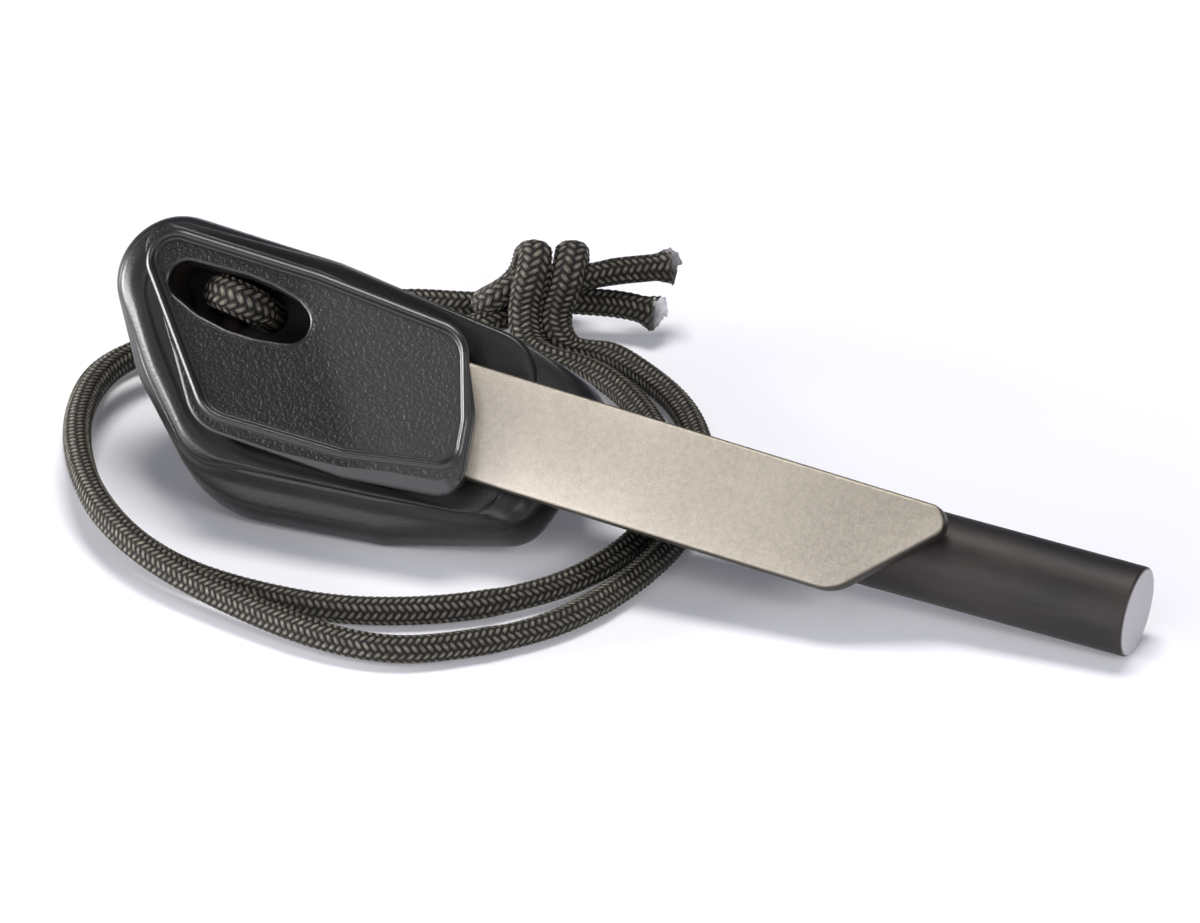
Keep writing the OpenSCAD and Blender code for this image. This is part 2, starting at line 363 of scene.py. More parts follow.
@dataclass(frozen=True)
class SatinSteel:
    """Warm satin steel with a fine even grain, and painted shade on its rounded edges."""

    name: str
    light: Triple
    dark: Triple
    # rim: colour of the painted shade on the rounded edges
    rim: Triple
    roughness: float

    def paint(self) -> bpy.types.Material:
        """Makes the material: blasted grain, with faint smudges where it was handled, painted light that fades from the
        tang towards the tip, and painted shade on the rounded edges.
        """
        g = Paint(self.name)
        grain = g.noise(4200.0, 4.0)
        smudge = g.noise(95.0, 3.0)
        specks = g.noise(1500.0, 2.0)
        # painted light: lighter by the tang, fading towards the tip
        share = (grain * 0.6 + smudge * 0.35 + specks * 0.45 - 0.5 + g.mask("painted_light_gradient") * 0.8).clamped()
        g.set(
            # painted shade on the rounded edges, by the rim mask
            Base_Color=g.tint(g.blend(self.dark, self.light, share), self.rim, g.mask("rim")),
            Roughness=self.roughness + smudge * 0.08,
            Metallic=0.85,
            Normal=g.bump(grain * 0.7 + specks * 0.5, 0.000022),
        )
        return g.material


@dataclass(frozen=True)
class Braid:
    """A braid of two sets of yarns that wind opposite ways, each passing over two and under two."""

    radius: float = 1.5
    yarns: int = 10
    pitch: float = 0.76
    relief: float = 0.16
    around: int = 50
    step: float = 0.152

    def weave(self, along: np.ndarray) -> np.ndarray:
        """The height of the braid over the whole grid.

        The two slanting coordinates are yarns times the turn round the cord, plus and minus the
        distance over the pitch. Their whole parts name the yarns that cross there, and their sum
        modulo 4 says which is on top. The height is the sine across the upper yarn times the
        sine along its float.

        Args:
            along: each ring's distance along the cord in millimetres.

        Returns:
            The height from 0 to 1, as rings by points.
        """
        turn = np.arange(self.around)[None] / self.around * self.yarns
        run = along[:, None] / self.pitch
        u, v = turn + run, turn - run
        i, j = np.floor(u), np.floor(v)
        k = np.mod(i + j, 4)
        upper = k < 2
        cross = np.where(upper, u - i, v - j)
        float_at = np.where(upper, (v - j + k) / 2, (u - i + k - 2) / 2)
        height = np.sin(math.pi * cross) ** 0.7 * (0.3 + 0.7 * np.sin(math.pi * float_at) ** 0.6)
        return height


@dataclass(frozen=True)
class BraidedNylon:
    """Dark braided nylon, each yarn of a few plies, with painted shade in the hollows and a painted glint on each
    yarn's crest.
    """

    name: str
    # colour of the painted shade in the weave's hollows
    crease_shade: Triple
    crest: Triple
    # colour of the painted glint on the yarns' crests
    crest_glint: Triple
    braid: Braid = Braid()

    def paint(self) -> bpy.types.Material:
        """Makes the material: the braid's own pattern read from how the cord is wound, plies across each yarn, painted
        shade in the hollows and painted glints on the crowns.
        """
        g = Paint(self.name)
        wound = g.node("ShaderNodeUVMap", {"uv_map": "wound"}, {})
        turn = g.node("ShaderNodeSeparateXYZ", {}, {0: wound}, "X") * self.braid.yarns
        run = g.node("ShaderNodeSeparateXYZ", {}, {0: wound}, "Y") * (1 / self.braid.pitch)
        u, v = turn + run, turn - run
        i, j = u.floored(), v.floored()
        part_u, part_v = u - i, v - j
        k = (i + j).modulo(4.0)
        upper = k.below(1.5)
        cross = part_v + (part_u - part_v) * upper
        low = (part_u + k - 2.0) * 0.5
        high = (part_v + k) * 0.5
        along = low + (high - low) * upper
        crown = cross.arch() ** 0.8 * along.arch() ** 0.7
        plies = (cross * 3.0 + along * 0.6).modulo(1.0).arch()
        cell = g.node("ShaderNodeCombineXYZ", {}, {0: i, 1: j})
        tone = g.node("ShaderNodeTexWhiteNoise", {}, {"Vector": cell})
        fibres = g.noise(5200.0, 2.0)
        # painted shade: darker down in the weave and between the plies
        base = g.blend(self.crease_shade, self.crest, (crown * (0.45 + plies * 0.55)).clamped())
        # shine: painted glints on the crowns, varied at random from one crossing to the next
        shine = ((crown - 0.42) * 2.0 * (0.25 + plies * 0.75) * (0.4 + tone * 0.6) * (fibres * 1.4)).clamped()
        g.set(
            Base_Color=g.tint(base, self.crest_glint, shine),
            Roughness=0.66 - crown * 0.1,
            Normal=g.bump(crown * 0.8 + plies * crown * 0.3, 0.00016),
            IOR=1.4,
        )
        return g.material


@dataclass(frozen=True)
class MeltedNylon:
    """The whitish glassy bead that a flame leaves on a cut cord."""

    name: str
    pale: Triple
    scorched: Triple

    def paint(self) -> bpy.types.Material:
        """Makes the material: pale lumps with darker scorched fibres between them."""
        g = Paint(self.name)
        lumps = g.noise(1500.0, 4.0)
        pale = g.mask("pale")
        g.set(
            Base_Color=g.blend(self.scorched, self.pale, (pale * 1.3 * (0.35 + lumps * 1.1)).clamped()),
            Roughness=0.45 + lumps * 0.2,
            Normal=g.bump(lumps, 0.00012),
            IOR=1.5,
        )
        return g.material


def spline(points: np.ndarray, count: int) -> np.ndarray:
    """One smooth curve through points.

    Between two points the curve is a cubic of the chord length, and its first and second slopes
    carry on through every point (a natural cubic spline).

    Args:
        points: the points, one to a row.
        count: how many points the curve gets.

    Returns:
        The curve, its points evenly spread along the chord length.
    """
    p = np.asarray(points, float)
    h = np.maximum(np.linalg.norm(np.diff(p, axis=0), axis=1), 1e-9)
    n = len(p)
    a = np.zeros((n, n))
    r = np.zeros_like(p)
    i = np.arange(1, n - 1)
    a[0, 0] = a[-1, -1] = 1.0
    a[i, i - 1] = h[:-1]
    a[i, i] = 2 * (h[:-1] + h[1:])
    a[i, i + 1] = h[1:]
    slope = np.diff(p, axis=0) / h[:, None]
    r[1:-1] = 6 * (slope[1:] - slope[:-1])
    m = np.linalg.solve(a, r)
    knots = np.concatenate([[0.0], np.cumsum(h)])
    t = np.linspace(0.0, knots[-1], count)
    k = np.clip(np.searchsorted(knots, t, "right") - 1, 0, n - 2)
    u = (t - knots[k])[:, None]
    w = h[k][:, None] - u
    hk = h[k][:, None]
    return (
        (m[k] * w ** 3 + m[k + 1] * u ** 3) / (6 * hk)
        + (p[k] / hk - m[k] * hk / 6) * w
        + (p[k + 1] / hk - m[k + 1] * hk / 6) * u
    )


def evenly(curve: np.ndarray, step: float) -> np.ndarray:
    """A dense curve with its points spread evenly, about step apart.

    Args:
        curve: points close together along the curve.
        step: the wanted distance between points.

    Returns:
        The evenly spread points.
    """
    run = np.concatenate([[0.0], np.cumsum(np.linalg.norm(np.diff(curve, axis=0), axis=1))])
    count = max(2, int(round(run[-1] / step)) + 1)
    at = np.linspace(0.0, run[-1], count)
    return np.stack([np.interp(at, run, curve[:, c]) for c in range(curve.shape[1])], 1)


def length_of(curve: np.ndarray) -> float:
    """The length of a curve, the sum of its chords."""
    return float(np.linalg.norm(np.diff(curve, axis=0), axis=1).sum())


def smooth(x: np.ndarray) -> np.ndarray:
    """A soft step from 0 to 1 as x goes from 0 to 1: three x squared less two x cubed."""
    t = np.clip(x, 0.0, 1.0)
    return t * t * (3 - 2 * t)


def unit(v: np.ndarray) -> np.ndarray:
    """Vectors of length 1 in the same directions."""
    return v / np.maximum(np.linalg.norm(v, axis=-1, keepdims=True), 1e-12)


def mesh_from_grid(
    name: str, grid: np.ndarray, wrap: bool = False, masks: Union[dict[str, np.ndarray], None] = None,
    sharp: float = 40.0, run: Union[np.ndarray, None] = None,
) -> bpy.types.Object:
    """Turns a grid of closed rings into a closed mesh.

    Vertex (row i, column j) joins (i, j + 1), (i + 1, j + 1) and (i + 1, j), columns always closing
    on themselves. The first and last rings are joined where wrap is true, or else filled.

    Args:
        name: the piece's name.
        grid: points in metres, as rows by columns by three.
        wrap: whether the last ring joins the first.
        masks: numbers kept on the points, each as rows by columns.
        sharp: the angle in degrees past which an edge is shaded sharp.
        run: each ring's distance along the piece, for the UV map that has the turn and that distance.

    Returns:
        The object, at the origin.
    """
    rows, cols = grid.shape[:2]
    last = rows if wrap else rows - 1
    i, j = np.meshgrid(np.arange(last), np.arange(cols), indexing="ij")
    i2, j2 = (i + 1) % rows, (j + 1) % cols
    quads = np.stack([i * cols + j, i * cols + j2, i2 * cols + j2, i2 * cols + j], -1).reshape(-1, 4)
    points = grid.reshape(-1, 3)
    corners = points[quads]
    volume = np.einsum("ij,ij->i", corners[:, 0], np.cross(corners[:, 1], corners[:, 2])).sum()
    volume += np.einsum("ij,ij->i", corners[:, 0], np.cross(corners[:, 2], corners[:, 3])).sum()
    ends = [] if wrap else [list(range(cols - 1, -1, -1)), list(range((rows - 1) * cols, rows * cols))]
    if not wrap:
        for ring in ends:
            face = points[ring]
            volume += np.einsum("ij,ij->", np.broadcast_to(face[0], face[1:-1].shape), np.cross(face[1:-1], face[2:]))
    flip = volume < 0
    if flip:
        quads = quads[:, ::-1]
        ends = [ring[::-1] for ring in ends]
    mesh = bpy.data.meshes.new(name)
    mesh.from_pydata(points.tolist(), [], quads.tolist() + ends)
    mesh.polygons.foreach_set("use_smooth", np.ones(len(mesh.polygons), bool))
    if run is not None:
        turns = np.stack([j, j + 1, j + 1, j], -1).reshape(-1, 4) / cols
        places = run[np.stack([i, i, i2, i2], -1).reshape(-1, 4)]
        step = -1 if flip else 1
        wound = np.stack([turns[:, ::step], places[:, ::step]], -1).reshape(-1, 2)
        rest = len(mesh.loops) - len(wound)
        layer = mesh.uv_layers.new(name="wound")
        layer.data.foreach_set("uv", np.concatenate([wound, np.zeros((rest, 2))]).astype(np.float32).ravel())
    for key, value in (masks or {}).items():
        mask = mesh.attributes.new(key, "FLOAT", "POINT")
        mask.data.foreach_set("value", np.ascontiguousarray(value, np.float32).ravel())
    mesh.set_sharp_from_angle(angle=math.radians(sharp))
    mesh.validate()
    made = bpy.data.objects.new(name, mesh)
    bpy.context.scene.collection.objects.link(made)
    return made


def carve(target: bpy.types.Object, cutter: bpy.types.Object, sharp: float = 40.0) -> None:
    """Takes the cutter's space out of the target's mesh and removes the cutter.

    Args:
        target: a closed mesh.
        cutter: a closed mesh that crosses it.
        sharp: the angle in degrees past which an edge is shaded sharp.
    """
    cut = target.modifiers.new("cut", "BOOLEAN")
    cut.operation = "DIFFERENCE"
    cut.solver = "MANIFOLD"
    cut.object = cutter
    bpy.context.view_layer.update()
    shown = target.evaluated_get(bpy.context.evaluated_depsgraph_get())
    mesh = bpy.data.meshes.new_from_object(shown)
    target.modifiers.clear()
    target.data = mesh
    mesh.polygons.foreach_set("use_smooth", np.ones(len(mesh.polygons), bool))
    mesh.set_sharp_from_angle(angle=math.radians(sharp))
    bpy.data.objects.remove(cutter)


@dataclass(frozen=True)
class Lay:
    """How the tool lies on the surface: rolled onto its bulged flank, with the rod's tip down.

    Lengths are in millimetres and angles in radians.
    """

    rod_r: float = 4.75
    rod_free: float = 63.0
    rod_bevel: float = 0.4
    bulge_w: float = 15.0
    base_w: float = 8.5
    under_h: float = 9.0
    rest_cut: float = 0.4
    rest_s: float = 25.0
    rest_t: float = 0.5
    flank_power: float = 1.38
    roll: float = math.radians(52.75)
    origin: tuple[float, float] = (88.0, 4.0)
    knot: tuple[float, float] = (6.1, 46.5)
    knot_yaw: float = math.radians(22.0)

    @property
    def tilt(self) -> float:
        """The rod's slope down to its tip, from the drop between the flank and the tip."""
        flank = self.bulge_w - (self.bulge_w - self.base_w) * self.rest_t ** self.flank_power
        drop = math.sin(self.roll) * flank + math.cos(self.roll) * self.under_h * self.rest_t - self.rest_cut
        return math.asin((drop - self.rod_r) / (self.rod_free + self.rest_s))

    @property
    def lift(self) -> float:
        """The height of the rod's end over the surface."""
        return self.rod_r * math.cos(self.tilt) - self.rod_bevel * math.sin(self.tilt)

    def surface(self, p: np.ndarray) -> np.ndarray:
        """Carries points from the tool's axes to the surface's, in millimetres.

        Each point is turned by the roll about the rod, then by the tilt about the sideways axis, and moved.
        """
        p = np.asarray(p, float)
        y = p[..., 1] * math.cos(self.roll) - p[..., 2] * math.sin(self.roll)
        z = p[..., 1] * math.sin(self.roll) + p[..., 2] * math.cos(self.roll)
        x2 = p[..., 0] * math.cos(self.tilt) + z * math.sin(self.tilt)
        z2 = z * math.cos(self.tilt) - p[..., 0] * math.sin(self.tilt)
        return np.stack([x2 + self.origin[0], y + self.origin[1], z2 + self.lift], -1)

    def metres(self, p: np.ndarray) -> np.ndarray:
        """The same in metres, nothing lower than the surface."""
        q = self.surface(p) * MM
        q[..., 2] = np.maximum(q[..., 2], 0.0)
        return q

    def at_knot(self, p: np.ndarray) -> np.ndarray:
        """Carries points from the knot's own axes to the surface's, in millimetres."""
        p = np.asarray(p, float)
        c, s = math.cos(self.knot_yaw), math.sin(self.knot_yaw)
        x = self.knot[0] + p[..., 0] * c - p[..., 1] * s
        y = self.knot[1] + p[..., 0] * s + p[..., 1] * c
        return np.stack([x, y, p[..., 2]], -1)


LAY = Lay()


def spread(flat: np.ndarray, z: float, count: int) -> np.ndarray:
    """A closed flat outline with its points spread evenly, at one height.

    Args:
        flat: points close together along the outline.
        z: the height over the rod's axis.
        count: how many points the ring gets.

    Returns:
        The ring's points.
    """
    closed = np.vstack([flat, flat[:1]])
    run = np.concatenate([[0.0], np.cumsum(np.linalg.norm(np.diff(closed, axis=0), axis=1))])
    at = np.linspace(0.0, run[-1], count, endpoint=False)
    even = np.stack([np.interp(at, run, closed[:, c]) for c in range(2)], 1)
    return np.concatenate([even, np.full((count, 1), z)], 1)


def ring_of(circles: np.ndarray, inset: float, z: float, count: int) -> np.ndarray:
    """The outline stretched round circles, at one height.

    For each facing, the outline's point is on the circle that reaches furthest that way, drawn in by
    inset. The points are then spread evenly along it, from the one that faces the rod's free end.

    Args:
        circles: distance behind the handle's front, sideways place and radius, one circle to a row.
        inset: how far the outline is drawn in.
        z: the height over the rod's axis.
        count: how many points the ring gets.

    Returns:
        The ring's points in the tool's millimetres.
    """
    a = np.linspace(0.0, 2 * math.pi, 1440, endpoint=False)
    x = -(LAY.rod_free + circles[:, 0])[:, None]
    y = circles[:, 1][:, None]
    r = circles[:, 2][:, None]
    k = (x * np.cos(a) + y * np.sin(a) + r).argmax(0)
    px = x[k, 0] + (r[k, 0] - inset) * np.cos(a)
    py = y[k, 0] + (r[k, 0] - inset) * np.sin(a)
    return spread(np.stack([px, py], 1), z, count)


def loft(rings: Sequence[np.ndarray], count: int) -> np.ndarray:
    """A smooth surface through rings: each column of points lies on a natural spline through them."""
    keys = np.array(rings)
    return spline(keys.reshape(len(keys), -1), count).reshape(count, *keys.shape[1:])


def outward(ring: np.ndarray) -> np.ndarray:
    """The level directions that face out of a ring at each of its points."""
    along = unit(np.roll(ring, -1, 0) - np.roll(ring, 1, 0))
    return np.stack([along[:, 1], -along[:, 0], np.zeros(len(ring))], 1)


def between(first: np.ndarray, last: np.ndarray, count: int) -> np.ndarray:
    """Rings from first towards last, without the last: each point goes along a straight line."""
    t = np.linspace(0.0, 1.0, count, endpoint=False)[:, None, None]
    return first[None] * (1 - t) + last[None] * t


@dataclass(frozen=True)
class HeadShape:
    """The scraper head's outlines and heights, which the handle's nest follows."""

    floor: float = 3.0
    height: float = 6.6
    field_drop: float = 0.45

    @property
    def top(self) -> float:
        """The height of the border."""
        return self.floor + self.height

    def edge(self) -> np.ndarray:
        """The head's outline."""
        return np.array([
            [45.4, 9.2, 2.4], [33.9, -2.8, 5.5], [20, -4, 5.2], [10.4, -5.4, 3.1], [14, -1, 6.1], [14.5, 4.8, 4.1],
            [29, 5.2, 5.7],
        ])

    def field(self) -> np.ndarray:
        """The sunken field's outline."""
        return np.array([
            [44.2, 8.1, 2.3], [34, -2.2, 3.9], [21, -2.55, 3.8], [10.6, -3.3, 1.6], [13, -1, 3.7], [14.5, 5.1, 3.2],
            [29, 5.1, 4.7],
        ])


@dataclass(frozen=True)
class SlotShape:
    """The slot that the lanyard goes through, turned against the rod."""

    s: float = 36.3
    y: float = 5.6
    yaw: float = math.radians(-8.0)
    bar_x: float = -1.4
    bight_y: float = 0.4

    def out(self, x: np.ndarray, y: np.ndarray) -> np.ndarray:
        """Carries the slot's own flat coordinates to the tool's."""
        c, s = math.cos(self.yaw), math.sin(self.yaw)
        return np.stack([x * c - y * s - LAY.rod_free - self.s, x * s + y * c + self.y], -1)

    def inside(self, p: np.ndarray) -> np.ndarray:
        """1 within the slot's reach seen from above, fading to 0 over 3 mm round it."""
        c, s = math.cos(self.yaw), math.sin(self.yaw)
        x, y = p[..., 0] + LAY.rod_free + self.s, p[..., 1] - self.y
        along, across = x * c + y * s, y * c - x * s
        far = np.hypot(np.maximum(np.abs(along) - 5.2, 0.0), across)
        return 1 - smooth((far - 3.2) / 3.0)

    def leaf(self, grow: float, z: float, count: int) -> np.ndarray:
        """The head's slot at one height: the outline stretched round six circles, wider by grow.

        Args:
            grow: how much further out the outline lies.
            z: the height over the rod's axis.
            count: how many points the ring gets.

        Returns:
            The ring's points in the tool's millimetres.
        """
        a = np.linspace(0.0, 2 * math.pi, 1440, endpoint=False)
        x, y, r = (np.array(v)[:, None] for v in zip(
            (-6.1, -0.1, 2.0), (-3.2, -0.35, 2.55), (0.0, -0.15, 2.95), (2.6, 0.0, 2.85), (5.2, 0.15, 2.4), (6.1, 0.1, 2.05),
        ))
        k = (x * np.cos(a) + y * np.sin(a) + r).argmax(0)
        flat = self.out(x[k, 0] + (r[k, 0] + grow) * np.cos(a), y[k, 0] + (r[k, 0] + grow) * np.sin(a))
        return spread(flat, z, count)

    def ring(
        self, length: float, width: float, z: float, count: int, middle: tuple[float, float] = (0.0, 0.0)
    ) -> np.ndarray:
        """A slot with round ends at one height, its points spread evenly.

        Args:
            length: the slot's length.
            width: the slot's width.
            z: the height over the rod's axis.
            count: how many points the ring gets.
            middle: its middle in the slot's own flat coordinates.

        Returns:
            The ring's points in the tool's millimetres.
        """
        a = np.linspace(0.0, 2 * math.pi, 720, endpoint=False)
        x = np.sign(np.cos(a)) * (length - width) / 2 + width / 2 * np.cos(a)
        flat = self.out(x + middle[0], width / 2 * np.sin(a) + middle[1])
        return spread(flat, z, count)


HEAD = HeadShape()
SLOT = SlotShape()


@dataclass
class Handle:
    """The moulded handle: bulged flanks, a crested rim round the nest, and the lanyard's slot."""

    length: float = 52.8
    bulge_w: float = 15.0
    straight_w: float = 13.9
    under_h: float = 9.0
    rim_h: float = 5.0
    nest_h: float = 2.6
    nest_lip: float = 0.9
    nest_foot: float = 1.6
    lip_drop: float = 1.0
    slot_l: float = 9.4
    slot_w: float = 3.8
    lip: float = 0.4
    rod_held: float = 25.0
    around: int = 288

    def widest(self) -> np.ndarray:
        """The outline at the rod's height."""
        return np.array([
            [self.length - 7.3, self.straight_w - 6.9, 6.9], [41, 1, 7.7], [30.5, 13 - self.bulge_w, 13],
            [17, 5.6 - self.bulge_w, 4.6], [4.3, -6.6, 4.1], [2.2, 3, 5.4], [12.6, 4.6, 6],
            [29, self.straight_w - 7.9, 7.1],
        ])

    def rim(self) -> np.ndarray:
        """The outline at the rim's crest."""
        return np.array([
            [self.length - 7.8, self.straight_w - 7.4, 6.2], [40.5, 0.5, 5.3], [34.3, 11.2 - self.bulge_w, 6.9],
            [17, 10 - self.bulge_w, 4.7], [8, -5.5, 3.5], [11, 1.5, 5], [9.7, 4.8, 5.6],
            [29, self.straight_w - 8.4, 7.2],
        ])

    def base(self) -> np.ndarray:
        """The outline at the underside."""
        return np.array([
            [self.length - 7.8, self.straight_w - 8.4, 3.5], [39, 0.5, 4.5], [32, 13.5 - self.bulge_w, 7],
            [17, 10.8 - self.bulge_w, 4.2], [6, -3.6, 3.2], [4.5, 2.5, 4], [13, 3.6, 4.6],
            [29, self.straight_w - 10.9, 6],
        ])

    def over(self) -> list[np.ndarray]:
        """The key rings from the widest line up: a round flank, a terrace, the rim's shoulder, a slope into the nest.

        The shoulder's width is 0.4 mm plus up to 1.5 mm where the rim faces back, and never over 0.45 of
        the whole rim. On the back's near side it also starts further out.
        """
        rim = ring_of(self.rim(), 0.0, 0.0, self.around)
        inner = ring_of(HEAD.edge(), self.nest_lip, 0.0, self.around)
        facing = outward(rim)
        share = smooth((-facing[:, 0] - 0.25 * facing[:, 1] - 0.02) / 0.85)
        outer = rim + facing * (0.9 * share * smooth((3.0 - rim[:, 1]) / 7.0))[:, None]
        whole = np.linalg.norm(inner - outer, axis=1)
        wide = (np.minimum(0.4 + 1.5 * share, 0.45 * whole) / whole)[:, None]
        up = np.array([0.0, 0.0, 1.0])
        foot = ((4.62 - 0.4 * share)[:, None]) * up
        rise = self.rim_h + 0.08
        widest = ring_of(self.widest(), 0.0, 0.0, self.around)
        near = smooth((-facing[:, 1] - 0.4) / 0.55)
        walls = ((0.26, 0.05, 0.04), (0.455, 0.12, 0.1), (0.585, 0.19, 0.17), (0.66, 0.24, 0.25), (0.715, 0.29, 0.38),
                 (0.757, 0.34, 0.5), (0.797, 0.4, 0.62), (0.855, 0.5, 0.74), (0.92, 0.7, 0.85), (0.974, 0.93, 0.95))
        shoulder = ((0.0, 0.0), (0.05, 0.2), (0.15, 0.36), (0.35, 0.56), (0.6, 0.78), (0.8, 0.93), (1.0, 1.0))
        slope = ((0.3, 5.03), (0.6, 4.9), (0.85, 4.62), (1.0, 4.2))
        reach = inner - outer
        return [
            *(widest + (outer - widest) * (w + (v - w) * near)[:, None] + foot * t for t, w, v in walls),
            *(outer + reach * wide * u + foot * (1 - g) + up * rise * g for u, g in shoulder),
            *(outer + reach * (wide + (1 - wide) * v) + up * z for v, z in slope),
        ]

    def outside(self) -> list[np.ndarray]:
        """The key rings from the underside over the flank and the crest into the nest."""
        widest, base = self.widest(), self.base()
        under = ((1.2, 0.0), (0.5, 0.3), (0.15, 0.65))
        flank = (0.9, 0.74, 0.58, 0.42, 0.26, 0.12, 0.0)
        nest = ((self.nest_lip + 0.1, self.rim_h - self.lip_drop - 0.3), (self.nest_lip + 0.2, self.nest_h + 0.5),
                (self.nest_foot, self.nest_h))
        share = [t ** LAY.flank_power for t in flank]
        return [
            *(ring_of(base, inset, z - self.under_h, self.around) for inset, z in under),
            *(ring_of(widest + (base - widest) * b, 0.0, -self.under_h * t, self.around) for t, b in zip(flank, share)),
            *self.over(),
            *(ring_of(HEAD.edge(), inset, z, self.around) for inset, z in nest),
        ]

    def skin(self) -> np.ndarray:
        """The whole skin as one band of rings that closes through the slot."""
        lip = self.lip
        turns = ((0.0, 0.0), (0.3, 0.05), (0.7, 0.3), (0.95, 0.7), (1.0, 1.0))
        middle = (SLOT.bar_x, SLOT.bight_y)
        grown = [(2 * lip * (1 - c), lip * s) for c, s in turns]
        top = [SLOT.ring(self.slot_l + g, self.slot_w + g, self.nest_h - d, self.around, middle) for g, d in grown]
        low = [SLOT.ring(self.slot_l + g, self.slot_w + g, d - self.under_h, self.around, middle)
               for g, d in grown[::-1]]
        rings = loft(self.outside(), 150)
        return np.concatenate([
            rings[:-1], between(rings[-1], top[0], 14), np.array(top[:-1]), between(top[-1], low[0], 16),
            np.array(low[:-1]), between(low[-1], rings[0], 10),
        ])

    def build(self, finish: MouldedPlastic) -> bpy.types.Object:
        """Builds the handle, bored for the rod, and dresses it.

        Args:
            finish: the handle's plastic.

        Returns:
            The finished piece.
        """
        skin = self.skin()
        # inner: where painted shade goes, inside the lanyard slot below the nest's floor
        masks = {"inner": SLOT.inside(skin) * (1 - smooth((skin[..., 2] - self.nest_h) / 0.6))}
        made = mesh_from_grid("handle_shell", LAY.metres(skin), wrap=True, masks=masks)
        bore = bar_grid(LAY.rod_free + self.rod_held, LAY.rod_r, LAY.rod_bevel, 3, 96)
        carve(made, mesh_from_grid("bore", LAY.surface(bore) * MM))
        dress(made, finish.paint(), Body.HANDLE, Slot.HANDLE, "handle")
        return made


def bar_grid(length: float, radius: float, bevel: float, rows: int, cols: int) -> np.ndarray:
    """A round bar along the rod's axis, from its free end, with rounded edges.

    The radius is a function of the distance from the free end: full, less a quarter circle at each end.

    Args:
        length: the bar's length.
        radius: the bar's radius.
        bevel: the radius of its rounded edges.
        rows: how many rings its straight part has.
        cols: how many points a ring has.

    Returns:
        The grid in the tool's millimetres.
    """
    q = np.linspace(0.0, math.pi / 2, 6)
    in_x, in_r = bevel * (1 - np.cos(q)), radius - bevel * (1 - np.sin(q))
    x = np.concatenate([in_x, np.linspace(bevel, length - bevel, rows)[1:-1], length - in_x[::-1]])
    r = np.concatenate([in_r, np.full(rows - 2, radius), in_r[::-1]])
    a = np.linspace(0.0, 2 * math.pi, cols, endpoint=False)
    return np.stack([
        np.repeat(-x[:, None], cols, 1), r[:, None] * np.cos(a)[None], r[:, None] * np.sin(a)[None],
    ], -1)


def dress(
    made: bpy.types.Object, material: bpy.types.Material, body: Body, slot: Slot, *nodes: str
) -> None:
    """Gives a piece its material and its body, and hides the CAD nodes that it stands for.

    Args:
        made: the piece.
        material: its material.
        body: the body that it rides on.
        slot: not used.
        nodes: the CAD nodes that it stands for.
    """
    made.data.materials.clear()
    made.data.materials.append(material)
    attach(made, body.value)
    if nodes:
        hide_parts(*nodes)
    LOG.info("%s: %d faces on %s", made.name, len(made.data.polygons), body.value)


@dataclass
class StrikingRod:
    """The striking rod: a coated bar with a sawn free end."""

    held: float = 25.0

    def build(self, finish: CoatedRod) -> bpy.types.Object:
        """Builds the rod and dresses it.

        Args:
            finish: the rod's coat and sawn end.

        Returns:
            The finished piece.
        """
        grid = bar_grid(LAY.rod_free + self.held, LAY.rod_r, LAY.rod_bevel, 60, 128)
        behind = -grid[..., 0]
        masks = {"sawn": 1.0 - smooth(behind / 0.12), "rubbed": 1.0 - smooth(behind / 0.6)}
        made = mesh_from_grid("striking_rod", LAY.surface(grid) * MM, masks=masks, sharp=60.0)
        dress(made, finish.paint(), Body.HANDLE, Slot.ROD, "ferro_rod")
        return made


